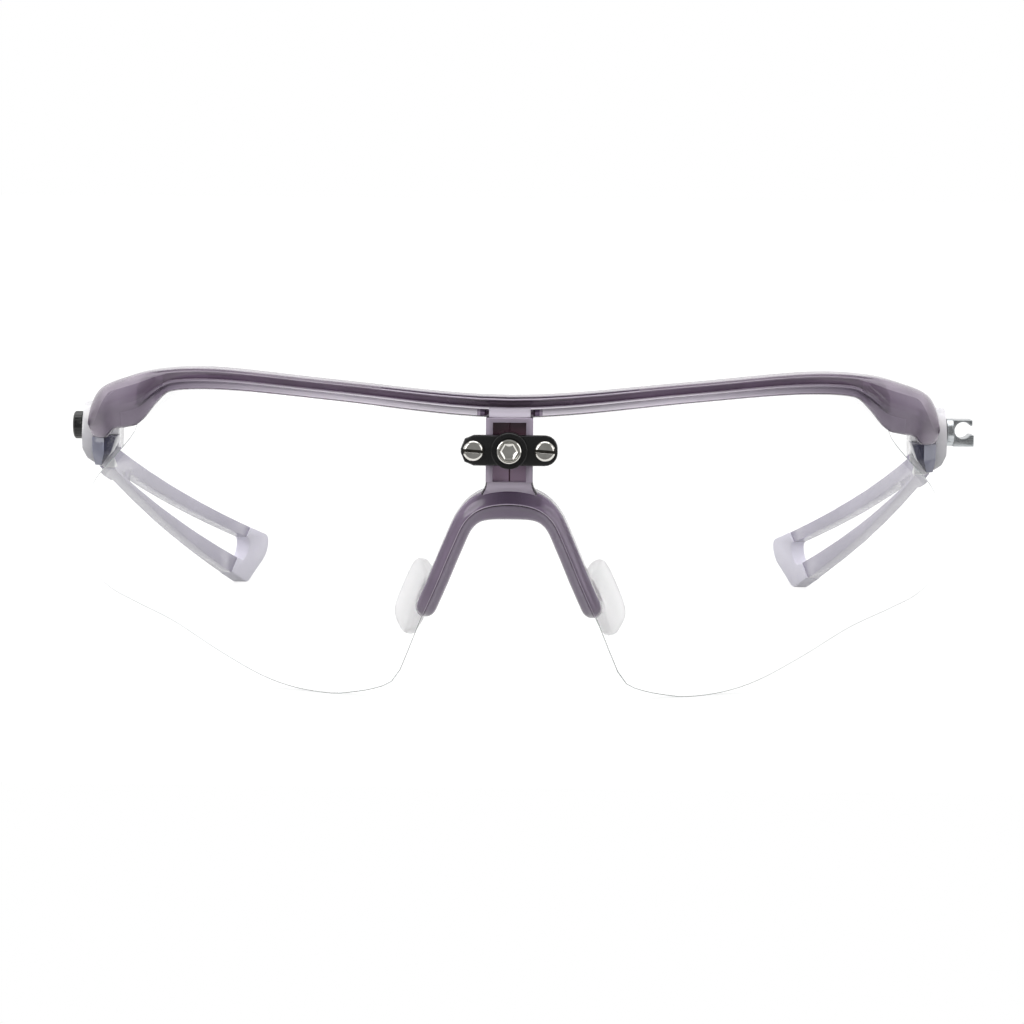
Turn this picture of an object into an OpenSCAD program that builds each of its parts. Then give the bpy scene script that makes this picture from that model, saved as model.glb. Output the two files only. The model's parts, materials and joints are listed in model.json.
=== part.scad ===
// Clear-shield glasses with a height-adjustable accessory mount on the bridge.
// Millimetres. X runs across the face, Y runs back along the temples, Z is up.
// Left and right are as seen from the front, so left is -X.
// Shapes are drawn with Z = 0 on the table and Y = 0 at the front of the brow,
// then moved so that the origin is the middle of the mount bracket's front face.

/* [Brow frame] */
// Overall width of the brow frame
brow_w = 147.6; // [142:0.2:150]
// Radius of the sphere that the front of the brow lies on
brow_r = 94; // [93.6:0.2:96]
// Thickness of the brow from front to back
brow_t = 5; // [4.6:0.1:5.6]
// Height of the brow bar at the middle
brow_h = 3.4; // [3:0.1:4.4]
// Rise of the bar from the middle to its highest points
brow_rise = 3.1; // [1.5:0.1:4]
// Drop from the underside at the middle to the lower edge of the swept ends
brow_end_drop = 7.2; // [6.6:0.1:7.6]
// Height of the brow's underside at the middle above the table
brow_z = 48; // [47:0.1:50]

/* [Lens] */
// How far the lens's widest part stands past the brow's end on each side
lens_over = 1.5; // [0.2:0.1:2.7]
// How much smaller the radius of the lens's front is than the brow's
lens_inset = 2; // [1.6:0.1:2.4]
// Thickness of the lens
lens_t = 2; // [1.6:0.1:2.4]
// Set-back of the lens front behind the front of the brow
lens_setback = 1.8; // [1.5:0.1:2.1]
// Drop from the brow's underside to the most forward point of the lens
lens_front_drop = 10; // [8:0.5:12]
// Depth of the lens in the brow's groove
groove_d = 2.2; // [1.6:0.1:2.6]
// Distance from the mid-plane to the lowest point of each lens lobe
lobe_x = 30; // [28:0.5:34]

/* [Nose bridge] */
// Height of the material between the mount's window and the arch's band
nose_web = 0.8; // [0.4:0.1:1.8]
// Height of the middle of the leg tips
nose_tip_z = 16.6; // [15:0.1:18]
// Distance from the mid-plane to the middle of each leg tip
nose_tip_x = 13.5; // [12:0.1:14]
// Height of the arch's band at its apex
nose_band = 5.6; // [4.6:0.1:6.4]
// Width of each leg
nose_leg_w = 2.9; // [2.5:0.1:3.4]
// How far the arch stands in front of the lens
nose_front = 3; // [2.4:0.1:3.6]
// How far the arch reaches behind the lens
nose_back = 3; // [2.4:0.1:4]
// Width of the column between the brow and the arch
column_w = 7.6; // [7.2:0.1:8.4]
// How far the column stands in front of the brow
column_front = 0.8; // [0.5:0.1:1.2]
// Width of the window that guides the mount
window_w = 5.4; // [5:0.1:5.8]
// Height of the window
window_h = 9.7; // [9:0.1:10]
// Height of the web between the window and the brow
window_web = 0.6; // [0.4:0.1:1]
// Extra width of the recess behind the window on each side
recess_step = 0.5; // [0.3:0.05:0.6]

/* [Nose pads] */
// Length of each pad along the leg
pad_len = 12; // [10:0.5:13]
// Depth of each pad behind the leg
pad_d = 9; // [8:0.5:10]
// Thickness of each pad
pad_t = 2.8; // [2.4:0.1:3.4]
// Thickness of the spigot inside each pad
spigot_t = 1.2; // [0.8:0.1:1.4]
// Length of the spigot inside each pad
spigot_l = 5.5; // [4:0.5:6.5]
// Angle by which the pads open out to the back
pad_flare = 25; // [15:1:30]

/* [Accessory mount] */
// Width of the bracket
bracket_w = 15.6; // [15:0.1:17]
// Height of the bracket
bracket_h = 4.9; // [4.6:0.1:5.6]
// Thickness of the bracket's plate
bracket_t = 1.8; // [1.5:0.1:2.4]
// Corner radius of the bracket
bracket_corner = 2.1; // [1:0.1:2.4]
// Height of the middle of the bracket above the middle of the window, at rest
bracket_up = 0.45; // [-0.5:0.05:1.4]
// Radius of the round boss in the middle of the bracket
boss_r = 2.9; // [2.7:0.05:3.1]
// Height of the boss above the plate
boss_h = 0.6; // [0.4:0.1:1]
// Radius of the socket screw's head
socket_head_r = 2; // [1.8:0.05:2.2]
// Height of the socket screw's head
socket_head_h = 1.6; // [1.2:0.1:2]
// Width of the hexagon across its corners
hex_w = 2.64; // [2.2:0.02:2.8]
// Radius of the socket screw's shank
socket_shank_r = 1; // [0.8:0.05:1.2]
// Distance between the two slotted screws
optic_spacing = 11.5; // [11:0.1:11.8]
// Radius of the slotted screws' heads
slot_head_r = 1.65; // [1.4:0.05:1.75]
// Height of the slotted screws' heads
slot_head_h = 0.9; // [0.7:0.05:1.2]
// Width of the screwdriver slots
slot_w = 0.45; // [0.3:0.05:0.6]
// Radius of the slotted screws' shanks
slot_shank_r = 0.8; // [0.6:0.05:1]
// Height of the guide tongue and of the nut plate
guide_h = 3.8; // [3.4:0.1:4.2]
// Thickness of the nut plate
nut_t = 1.2; // [1:0.05:1.3]

/* [Hinges] */
// Distance of each knuckle in from the end face of the brow
hinge_in = 0.2; // [0.1:0.05:0.5]
// Distance of each hinge axis behind the back edge of the brow's end
hinge_back = 1.5; // [1.4:0.1:2.1]
// Radius of the temple's knuckle
knuckle_r = 2; // [1.8:0.05:2.05]
// Height of the temple's knuckle
knuckle_h = 4; // [3:0.1:4.2]
// Height of the brow's ear above the knuckle
ear_h = 2.3; // [1.8:0.1:2.6]
// Height of the hinge block below the brow's end
block_h = 4.9; // [4.4:0.1:5.6]
// Radius of the hinge screw
pin_r = 0.7; // [0.6:0.05:0.8]
// Radius of the hinge screw's head
pin_head_r = 1.2; // [1.1:0.05:1.4]
// Height of the hinge screw's head
pin_head_h = 0.6; // [0.4:0.05:0.8]

/* [Temples] */
// Length of each temple behind its hinge axis
temple_len = 112; // [106:1:116]
// Distance from the mid-plane to the inside of the temple at its tip
temple_tip_x = 56.8; // [52:0.2:58]
// Thickness of the temple's blade
blade_t = 2.2; // [2:0.1:2.6]
// Radius of the blade's bow, seen from above
bow_r = 600; // [500:10:900]
// Inward lean of the blade in degrees
lean = 10; // [7:0.5:11]
// Drop from the middle of the cheek to the blade's top edge at its root
blade_root_drop = 2.2; // [1.4:0.1:3.4]
// Height of the blade at its root
blade_root_h = 3.4; // [3:0.1:4]
// Height of the blade at its tip
blade_tip_h = 9.6; // [8:0.1:11]
// Corner radius of the tip
tip_corner = 3.1; // [2.6:0.1:3.4]
// Length of the soft tip, which goes round the rear end of the slot
tip_len = 18; // [16.5:0.5:19.5]
// Slant of the joint between the blade and the soft tip
tip_slant = 38; // [32:1:42]
// How far the soft tip stands out from the blade on each side
tip_proud = 0.3; // [0.1:0.05:0.5]
// Distance from the end of the temple to the rear end of the slot
slot_end = 11.5; // [10.5:0.5:12.5]
// Distance from the hinge axis to the front end of the slot
slot_start = 16; // [14:0.5:22]
// Height of the slot at its rear end
slot_rear_h = 4.8; // [3:0.1:5]
// Height of the slot at its front end
slot_front_h = 1.3; // [0.8:0.1:1.6]
// Radius of the round cheek at the front of each temple
cheek_r = 5.9; // [5.4:0.1:6.3]
// Thickness of the cheek
cheek_t = 1.9; // [1.7:0.1:2.2]
// Drop from the lower edge of the brow's end to the middle of the cheek
cheek_drop = 0.4; // [0:0.1:1]
// Distance of the middle of the cheek behind the hinge axis
cheek_back = 4; // [3.8:0.1:4.6]

/* [Side fittings] */
// Height of the knob and the clip above the middle of the cheek
fitting_up = 1.6; // [1.2:0.1:2]
// Radius of the knob and of the cable clip's flange
fitting_r = 2.45; // [2.2:0.05:2.8]
// Thickness of the washers under the knob and the clip
washer_t = 0.5; // [0.3:0.05:0.7]
// Thickness of the knob's cap
knob_t = 1.7; // [1.4:0.1:2.4]
// Radius of the studs of the knob and the clip
stud_r = 0.8; // [0.6:0.05:0.9]
// How far the studs stop short of the inner ends of their bushes
stud_short = 0.4; // [0.2:0.1:1]
// Radius of the threaded bushes
bush_r = 1.4; // [1.2:0.05:1.5]
// Length of the threaded bushes
bush_len = 3.8; // [3:0.1:4]
// Thickness of the cable clip's flange
flange_t = 1.2; // [1:0.1:1.6]
// Inner radius of the cable clip's jaw
jaw_r = 1.5; // [1.2:0.05:1.6]
// Length of the jaw along the cable
jaw_len = 4; // [3:0.1:4.6]
// Reach of the jaw from the flange
jaw_reach = 3.5; // [3.3:0.1:4]
// Height of the jaw's mouth
jaw_mouth = 1.7; // [1.2:0.1:2]

/* [Fits] */
// Side clearance of sliding and loose fits
slide_gap = 0.1; // [0.06:0.01:0.15]
// Radial clearance of turning fits
run_gap = 0.05; // [0.02:0.01:0.08]
// Gap between a temple's cheek and the brow's end
cheek_gap = 0.3; // [0.25:0.05:0.5]

/* [Hidden] */

$fn = 48;
sphere_fn = 180;
bow_fn = 720;
over = 1; // length by which a cutting solid runs past what it cuts

smoke = [0.48, 0.44, 0.52, 0.85];
smoke_dark = [0.28, 0.28, 0.36];
lavender = [0.72, 0.70, 0.79];
soft_grey = [0.80, 0.79, 0.87];
steel = [0.75, 0.76, 0.78];
brass = [0.80, 0.68, 0.38];

brow_half = brow_w / 2;
lens_front_z = brow_z - lens_front_drop;
brow_mid = [0, brow_r, lens_front_z];
brow_end_z = brow_z - brow_end_drop;
brow_end_back = brow_r - sqrt(pow(brow_r - brow_t, 2) - pow(brow_half, 2));
lens_r = brow_r - lens_inset;
lens_mid = [0, lens_setback + lens_r, lens_front_z];
lens_half = brow_half + lens_over;

window_top = brow_z - window_web;
window_bottom = window_top - window_h;
nose_apex_z = window_bottom - nose_web - nose_band / 2;
bracket_z = (window_top + window_bottom) / 2 + bracket_up;
guide_w = window_w - 2 * slide_gap;
recess_w = window_w + 2 * recess_step;
recess_y = 0.2; // where the narrow window opens into the wider recess
bracket_back = -column_front - slide_gap;
bracket_front = bracket_back - bracket_t;
boss_front = bracket_front - boss_h;
socket_seat = bracket_back - bracket_t + 0.1;
nut_front = recess_y + slide_gap;

hinge_x = brow_half - hinge_in - knuckle_r;
hinge_y = brow_end_back + hinge_back;
knuckle_bottom = brow_end_z + slide_gap;
knuckle_top = knuckle_bottom + knuckle_h;
ear_bottom = knuckle_top + slide_gap;
ear_top = ear_bottom + ear_h;
ear_r = knuckle_r + 0.3;
root_y = hinge_y + knuckle_r + 0.6;
root_in = hinge_x - 1.4; // inside face of the temple's root

cheek_z = brow_end_z - cheek_drop;
blade_root_z = cheek_z - blade_root_drop;
cheek_in = brow_half + cheek_gap;
cheek_out = cheek_in + cheek_t;
cheek_y = hinge_y + cheek_back;
temple_end = hinge_y + temple_len;
lean_z = 20; // height at which the blade's plan is given
blade_start = [hinge_x - 1.1 + tan(lean) * (36 - lean_z), hinge_y + 0.2];
blade_end = [temple_tip_x - tan(lean) * (lean_z - blade_tip_h / 2), temple_end - 7];
fitting_z = cheek_z + fitting_up;
washer_out = cheek_out + washer_t;
jaw_mid_x = washer_out + flange_t + jaw_r + 0.1;
jaw_z = fitting_z + 0.5;

// Points along an arc about c, from angle a to angle b
function arc(c, r, a, b, n = 8) =
    [for (i = [0:n]) c + r * [cos(a + (b - a) * i / n), sin(a + (b - a) * i / n)]];

// One control point, with the first and last points repeated past the ends
function pick(p, i) = p[max(0, min(len(p) - 1, i))];

// A point between control points i and i + 1 on a curve that passes through them all
function between(p, i, t) =
    0.5 * (2 * pick(p, i) + (pick(p, i + 1) - pick(p, i - 1)) * t
    + (2 * pick(p, i - 1) - 5 * pick(p, i) + 4 * pick(p, i + 1) - pick(p, i + 2)) * t * t
    + (3 * pick(p, i) - pick(p, i - 1) - 3 * pick(p, i + 1) + pick(p, i + 2)) * t * t * t);

// A smooth curve through control points, with n steps between each two
function smooth(p, n = 3) =
    [for (i = [0:len(p) - 2]) for (k = [0:n - 1]) between(p, i, k / n), p[len(p) - 1]];

// A half outline that starts on the mid-plane, carried over to the other side
function both_sides(h) =
    concat([for (i = [len(h) - 1:-1:1]) [-h[i][0], h[i][1]]], h);

function reversed(p) = [for (i = [len(p) - 1:-1:0]) p[i]];

// Underside of the brow bar, from the middle out to where the end widens
function bar_under(lift) = [
    [0, brow_z + lift],
    [0.38 * brow_half, brow_z + 0.68 * brow_rise + lift],
    [0.62 * brow_half, brow_z + brow_rise + lift],
    [0.765 * brow_half, brow_z + 0.8 * brow_rise + lift]];

brow_top = [
    [0, brow_z + brow_h],
    [0.38 * brow_half, brow_z + brow_h + 0.6 * brow_rise],
    [0.66 * brow_half, brow_z + brow_h + brow_rise],
    [0.815 * brow_half, brow_z + brow_h + 0.7 * brow_rise],
    [0.915 * brow_half, brow_z + brow_h],
    [0.97 * brow_half, brow_z + 0.45 * brow_h],
    [0.995 * brow_half, brow_end_z + 0.85 * brow_end_drop],
    [brow_half, brow_end_z + 0.4 * brow_end_drop]];

brow_under = concat(bar_under(0), [
    [0.81 * brow_half, brow_end_z + 1.07 * brow_end_drop],
    [0.86 * brow_half, brow_end_z + 0.5 * brow_end_drop],
    [0.9 * brow_half, brow_end_z + 0.34 * brow_end_drop],
    [0.935 * brow_half, brow_end_z + 0.25 * brow_end_drop],
    [0.955 * brow_half, brow_end_z + 0.04 * brow_end_drop],
    [0.975 * brow_half, brow_end_z],
    [0.994 * brow_half, brow_end_z + 0.03 * brow_end_drop],
    [brow_half, brow_end_z + 0.15 * brow_end_drop]]);

// Middle line of the nose arch, from the apex to a leg tip
nose_drop = nose_apex_z - nose_tip_z;
nose_half = [for (p = [[0, 0], [0.32, 0.04], [0.53, 0.17], [0.69, 0.43], [0.86, 0.75], [1, 1]])
    [p[0] * nose_tip_x, nose_apex_z - p[1] * nose_drop]];

// The lens outline, from the top of the middle out, down and back to the nose notch.
// slack widens it, for the grooves that the lens sits in.
function lens_outline(slack) = concat(
    bar_under(groove_d + slack),
    [[0.835 * brow_half, brow_z + brow_rise + slack],
    [0.864 * brow_half + slack, brow_z + slack],
    [0.859 * brow_half + slack, brow_z - 0.35 * brow_end_drop],
    [0.877 * brow_half + slack, brow_z - 0.75 * brow_end_drop],
    [0.927 * brow_half + slack, 0.8 * brow_z],
    [0.962 * lens_half, 0.71 * brow_z], [0.985 * lens_half, 0.64 * brow_z],
    [0.997 * lens_half, 0.52 * brow_z], [lens_half, 0.43 * brow_z],
    [0.985 * lens_half, 0.35 * brow_z], [0.94 * lens_half, 0.295 * brow_z],
    [0.87 * lens_half, 0.26 * brow_z], [0.77 * lens_half, 0.21 * brow_z],
    [0.66 * lens_half, 0.12 * brow_z], [0.56 * lens_half, 0.045 * brow_z],
    [0.48 * lens_half, 0.01 * brow_z], [lobe_x, 0],
    [0.88 * lobe_x, 0.01 * brow_z],
    [0.75 * lobe_x, 0.03 * brow_z], [0.65 * lobe_x, 0.06 * brow_z],
    [nose_tip_x + 4.2, 0.12 * brow_z], [nose_tip_x + 2.6, 0.21 * brow_z]],
    reversed([for (i = [1:len(nose_half) - 1]) nose_half[i] - [slack, 0]]),
    [[0, nose_apex_z - slack]]);

// Side view of the blade as [Y, Z] points: the top edge, the rounded tip, the lower edge
top_dir = 75.5;
low_dir = -108;
low_corner = [temple_end - tip_corner - 6, tip_corner];
high_corner = [temple_end - tip_corner - 0.3, blade_tip_h - tip_corner];
end_dir = atan2(high_corner[1] - low_corner[1], high_corner[0] - low_corner[0]) - 90;
blade_side = concat(
    [[root_y, blade_root_z]],
    arc(high_corner, tip_corner, top_dir, end_dir),
    arc(low_corner, tip_corner, end_dir, low_dir),
    [[root_y, blade_root_z - blade_root_h]]);

slot_front = [hinge_y + slot_start + slot_front_h / 2,
    blade_root_z - blade_root_h / 2 - 0.33 * slot_start];
slot_rear = [temple_end - slot_end - slot_rear_h / 2, blade_tip_h - 1.8];
slot_side = concat(
    arc(slot_front, slot_front_h / 2, 72, 256),
    arc(slot_rear, slot_rear_h / 2, -108, 76));

// Centre of the blade's bow, seen from above
bow_chord = norm(blade_end - blade_start);
bow_along = (blade_end - blade_start) / bow_chord;
bow_mid = (blade_start + blade_end) / 2
    + sqrt(bow_r * bow_r - bow_chord * bow_chord / 4) * [-bow_along[1], bow_along[0]];

// Moves a shape from the drawing frame, on the table, to the mount's frame
module seat() {
    translate([0, -bracket_front, -bracket_z]) children();
}

// A flat outline drawn as [X, Z], made solid from Y = a to Y = b
module from_front(a, b) {
    translate([0, b, 0]) rotate([90, 0, 0]) linear_extrude(height = b - a) children();
}

// A flat outline drawn as [Y, Z], made solid from X = a to X = b
module from_side(a, b) {
    translate([a, 0, 0]) rotate([90, 0, 90]) linear_extrude(height = b - a) children();
}

// A flat outline drawn as [X, Y], made solid from Z = a to Z = b
module from_above(a, b) {
    translate([0, 0, a]) linear_extrude(height = b - a) children();
}

// A round bar along Y at [x, z]
module bar_y(x, z, r, a, b) {
    translate([x, b, z]) rotate([90, 0, 0]) cylinder(h = b - a, r = r);
}

// A round bar along X on the axis of the side fittings
module fitting_bar(r, a, b) {
    translate([a, cheek_y, fitting_z]) rotate([0, 90, 0]) cylinder(h = b - a, r = r);
}

// A round bar along Z on the hinge axis
module hinge_bar(r, a, b) {
    translate([hinge_x, hinge_y, a]) cylinder(h = b - a, r = r);
}

// Spherical wall between two radii
module dome(mid, outer, inner) {
    difference() {
        translate(mid) sphere(r = outer, $fn = sphere_fn);
        translate(mid) sphere(r = inner, $fn = sphere_fn);
    }
}

module rounded_rect(w, h, r) {
    square([w - 2 * r, h], center = true);
    square([w, h - 2 * r], center = true);
    for (x = [-1, 1], z = [-1, 1])
        translate([x * (w / 2 - r), z * (h / 2 - r)]) circle(r = r);
}

// Draws its children on one side: side 1 is right, side -1 is left
module on_side(side) {
    if (side > 0) children();
    else mirror([1, 0, 0]) children();
}

// The lens as a closed solid, with slack on every face
module lens_blank(slack) {
    intersection() {
        dome(lens_mid, lens_r + slack, lens_r - lens_t - slack);
        from_front(-over, brow_r)
            polygon(smooth(both_sides(lens_outline(slack))));
    }
}

// Upper ear of each hinge, on the back of the brow's end
module brow_ear() {
    from_above(ear_bottom, ear_top) {
        translate([hinge_x, hinge_y]) circle(r = ear_r);
        translate([hinge_x - ear_r, hinge_y - 6]) square([2 * ear_r, 6]);
    }
}

module brow_frame() {
    color(smoke) seat() difference() {
        union() {
            intersection() {
                dome(brow_mid, brow_r, brow_r - brow_t);
                from_front(-over, brow_r)
                    polygon(concat(smooth(both_sides(brow_top)),
                        reversed(smooth(both_sides(brow_under)))));
            }
            for (side = [-1, 1]) on_side(side) brow_ear();
        }
        lens_blank(run_gap);
        for (side = [-1, 1]) on_side(side)
            hinge_bar(pin_r + run_gap, ear_bottom - over, ear_top + over);
    }
}

module lens() {
    color([0.86, 0.92, 0.90, 0.3]) seat() lens_blank(0);
}

// Half width of the nose band at share t of the way from the apex to a tip
function band_half(t) = (nose_band + (nose_leg_w - nose_band) * min(1, t / 0.45)) / 2;

// One edge of the nose band, out from its middle line by sign times half its width
function band_edge(line, sign) = [for (i = [0:len(line) - 1])
    let (step = pick(line, i + 1) - pick(line, i - 1),
        away = [-step[1], step[0]] / norm(step),
        t = abs(2 * i / (len(line) - 1) - 1))
    line[i] + sign * band_half(t) * away];

// Round end of the band at a leg tip: from one edge to the other, past the tip
function band_end(tip, from) =
    [for (i = [1:9]) tip + nose_leg_w / 2 * [cos(from - 18 * i), sin(from - 18 * i)]];

module nose_band_outline() {
    line = smooth(both_sides(nose_half));
    last = len(line) - 1;
    tip_dir = atan2(line[last][1] - line[last - 1][1], line[last][0] - line[last - 1][0]);
    polygon(concat(band_edge(line, 1), band_end(line[last], tip_dir + 90),
        reversed(band_edge(line, -1)), band_end(line[0], -90 - tip_dir)));
}

pad_gap = slide_gap + 0.45 + pad_len * pad_len / (8 * (lens_r - lens_t - nose_back));

// Puts a pad's own frame behind the leg: Z along the leg, Y to the back
module at_pad() {
    along = nose_half[len(nose_half) - 1] - nose_half[len(nose_half) - 3];
    pad_z = nose_tip_z - 1.6;
    pad_x = nose_tip_x + 0.6;
    back_r = lens_r - lens_t - nose_back;
    drop = lens_front_z - pad_z;
    pad_y = lens_mid[1] - sqrt(pow(back_r, 2) - pow(pad_x, 2) - pow(drop, 2));
    translate([pad_x, pad_y, pad_z])
        rotate([asin(drop / back_r), -atan(abs(along[0] / along[1])), 0])
            rotate([0, 0, -pad_flare])
                children();
}

module spigot(slack) {
    at_pad() translate([-spigot_t / 2 - slack, -nose_back, -1 - slack])
        cube([spigot_t + 2 * slack, nose_back + spigot_l + slack, 4.8 + 2 * slack]);
}

module nose_bridge() {
    column_rear = lens_mid[1] - sqrt(pow(lens_r, 2) - pow(window_top - lens_front_z, 2));
    color(smoke) seat() difference() {
        union() {
            intersection() {
                dome(lens_mid, lens_r + nose_front, lens_r - lens_t - nose_back);
                from_front(-nose_front, brow_r) nose_band_outline();
            }
            translate([-column_w / 2, -column_front, nose_apex_z])
                cube([column_w, column_front + column_rear, brow_z - nose_apex_z]);
            for (side = [-1, 1]) on_side(side) spigot(0);
        }
        lens_blank(run_gap);
        translate([-window_w / 2, -column_front - over, window_bottom])
            cube([window_w, column_front + over + lens_setback + over, window_h]);
        translate([-recess_w / 2, recess_y, window_bottom])
            cube([recess_w, lens_setback + over, window_h]);
    }
}

module nose_pad(side) {
    color([0.93, 0.93, 0.93]) seat() on_side(side) difference() {
        at_pad() translate([0, pad_gap + pad_d / 2, 0])
            from_side(-pad_t / 2, pad_t / 2) rounded_rect(pad_d, pad_len, pad_d / 3);
        spigot(run_gap);
    }
}

module nose_pad_left() {
    nose_pad(-1);
}

module nose_pad_right() {
    nose_pad(1);
}

module mount_bracket() {
    color([0.09, 0.09, 0.10]) seat() difference() {
        union() {
            from_front(bracket_front, bracket_back) translate([0, bracket_z])
                rounded_rect(bracket_w, bracket_h, bracket_corner);
            bar_y(0, bracket_z, boss_r, boss_front, bracket_back);
            translate([-guide_w / 2, bracket_back - 0.1, bracket_z - guide_h / 2])
                cube([guide_w, recess_y - bracket_back + 0.1, guide_h]);
        }
        bar_y(0, bracket_z, socket_head_r + slide_gap, boss_front - over, socket_seat);
        bar_y(0, bracket_z, socket_shank_r + run_gap, socket_seat - over, recess_y + over);
        for (side = [-1, 1])
            bar_y(side * optic_spacing / 2, bracket_z, slot_shank_r,
                bracket_front - over, bracket_back + over);
    }
}

module mount_socket_screw() {
    head_front = socket_seat - socket_head_h;
    color(steel) seat() difference() {
        union() {
            bar_y(0, bracket_z, socket_head_r, head_front, socket_seat);
            bar_y(0, bracket_z, socket_shank_r, socket_seat - 0.1, nut_front + nut_t);
        }
        translate([0, head_front + 0.6 * socket_head_h, bracket_z]) rotate([90, 0, 0])
            cylinder(h = socket_head_h, r = hex_w / 2, $fn = 6);
    }
}

module mount_nut_plate() {
    color(steel) seat() difference() {
        translate([slide_gap - recess_w / 2, nut_front, bracket_z - guide_h / 2])
            cube([recess_w - 2 * slide_gap, nut_t, guide_h]);
        bar_y(0, bracket_z, socket_shank_r, nut_front - over, nut_front + nut_t + over);
    }
}

module optic_screws() {
    head_front = bracket_front - slot_head_h;
    color(steel) seat() for (side = [-1, 1]) difference() {
        union() {
            bar_y(side * optic_spacing / 2, bracket_z, slot_head_r, head_front, bracket_front);
            bar_y(side * optic_spacing / 2, bracket_z, slot_shank_r,
                bracket_front - 0.1, bracket_back);
        }
        translate([side * optic_spacing / 2 - slot_head_r - over, head_front - over,
            bracket_z - slot_w / 2])
            cube([2 * (slot_head_r + over), over + slot_head_h / 2, slot_w]);
    }
}

// The block under the brow's end that carries the lower end of the hinge screw
module hinge_block(side) {
    top = brow_end_z - slide_gap;
    color(smoke_dark) seat() on_side(side) difference() {
        intersection() {
            from_front(hinge_y - 6.2, hinge_y + 3) polygon([
                [hinge_x - 2.1, top], [hinge_x - 1.2, top - 0.55 * block_h],
                [hinge_x + 0.4, top - block_h], [hinge_x + 1.6, top - block_h],
                [hinge_x + 3.3, top - 0.5 * block_h], [hinge_x + 3.3, top]]);
            from_above(top - block_h - over, top) {
                translate([hinge_x, hinge_y]) circle(r = knuckle_r + 0.2);
                translate([hinge_x - knuckle_r - 0.2, hinge_y - 6.2])
                    square([hinge_in + 2 * knuckle_r + 0.1, 6.2]);
            }
        }
        hinge_bar(pin_r, top - block_h - over, top + over);
    }
}

module hinge_block_left() {
    hinge_block(-1);
}

module hinge_block_right() {
    hinge_block(1);
}

module hinge_screw(side) {
    color(steel) seat() on_side(side) difference() {
        union() {
            hinge_bar(pin_r, brow_end_z - 0.6 * block_h, ear_top + 0.1);
            hinge_bar(pin_head_r, ear_top, ear_top + pin_head_h);
        }
        translate([hinge_x - pin_head_r - over, hinge_y - slot_w / 4, ear_top + pin_head_h / 2])
            cube([2 * (pin_head_r + over), slot_w / 2, pin_head_h]);
    }
}

module hinge_screw_left() {
    hinge_screw(-1);
}

module hinge_screw_right() {
    hinge_screw(1);
}

// The bowed and leaning wall of a temple, between two offsets from its inside face
module blade_wall(inner, outer) {
    rise = 60;
    shrink = tan(lean) * rise;
    base = norm(blade_start - bow_mid) + tan(lean) * (lean_z + over);
    translate([bow_mid[0], bow_mid[1], -over]) difference() {
        cylinder(h = rise, r1 = base + outer, r2 = base + outer - shrink, $fn = bow_fn);
        translate([0, 0, -over])
            cylinder(h = rise + 2 * over, r1 = base + inner + tan(lean) * over,
                r2 = base + inner - shrink - tan(lean) * over, $fn = bow_fn);
    }
}

// Puts a side view's own frame on the joint between the blade and the soft tip
module at_split() {
    translate([temple_end - tip_len, blade_tip_h / 2]) rotate(-tip_slant) children();
}

// Everything behind the joint, in side view
module tip_zone() {
    at_split() translate([0, -40]) square([80, 80]);
}

// Tongue below the slot, which the soft tip is pushed over
module tip_tongue(slack) {
    intersection() {
        blade_wall(blade_t / 4 - slack, 3 * blade_t / 4 + slack);
        from_side(0, brow_half)
            translate([temple_end - tip_len, blade_tip_h / 2]) rotate(-18)
                translate([-over, -1 - slack])
                    square([over + 3.4 + slack, 2 + 2 * slack]);
    }
}

module temple(side) {
    color(lavender) seat() on_side(side) difference() {
        union() {
            intersection() {
                blade_wall(0, blade_t);
                from_side(0, cheek_out) difference() {
                    polygon(blade_side);
                    polygon(slot_side);
                    tip_zone();
                }
            }
            tip_tongue(0);
            intersection() {
                from_side(0, cheek_out) translate([cheek_y, cheek_z]) circle(r = cheek_r);
                from_front(0, temple_end) polygon([
                    [0, 0], [hinge_x, cheek_z - cheek_r - over],
                    [cheek_out - 0.7, cheek_z - 0.65 * cheek_r],
                    [cheek_out, cheek_z - 0.35 * cheek_r], [cheek_out, brow_z + brow_h],
                    [0, brow_z + brow_h]]);
                from_above(0, brow_z + brow_h) polygon([
                    [cheek_in, hinge_y - over], [cheek_in, cheek_y - cheek_r - over],
                    [cheek_out, cheek_y - cheek_r - over], [cheek_out, cheek_y + 3],
                    [hinge_x + 3.3, cheek_y + cheek_r], [root_in, cheek_y + cheek_r],
                    [root_in, root_y], [cheek_in, root_y]]);
            }
            intersection() {
                from_side(0, cheek_out) difference() {
                    polygon(blade_side);
                    polygon(slot_side);
                }
                from_above(0, brow_z + brow_h) polygon([
                    [root_in, root_y], [hinge_x + 2, root_y],
                    [hinge_x + 1.6, cheek_y + cheek_r], [hinge_x + 1, cheek_y + cheek_r + 3],
                    [root_in + 0.6, cheek_y + cheek_r + 1]]);
            }
            from_above(knuckle_bottom, knuckle_top) {
                translate([hinge_x, hinge_y]) circle(r = knuckle_r);
                translate([root_in, hinge_y])
                    square([hinge_x + knuckle_r - root_in - 0.2, root_y + over - hinge_y]);
            }
        }
        hinge_bar(pin_r + run_gap, knuckle_bottom - over, knuckle_top + over);
        fitting_bar(bush_r, cheek_out - bush_len, cheek_out + over);
    }
}

module temple_left() {
    temple(-1);
}

module temple_right() {
    temple(1);
}

module temple_tip(side) {
    color(soft_grey) seat() on_side(side) difference() {
        intersection() {
            blade_wall(-tip_proud, blade_t + tip_proud);
            from_side(0, brow_half) difference() {
                intersection() {
                    polygon(blade_side);
                    tip_zone();
                }
                polygon(slot_side);
            }
        }
        tip_tongue(run_gap);
    }
}

module temple_tip_left() {
    temple_tip(-1);
}

module temple_tip_right() {
    temple_tip(1);
}

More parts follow.
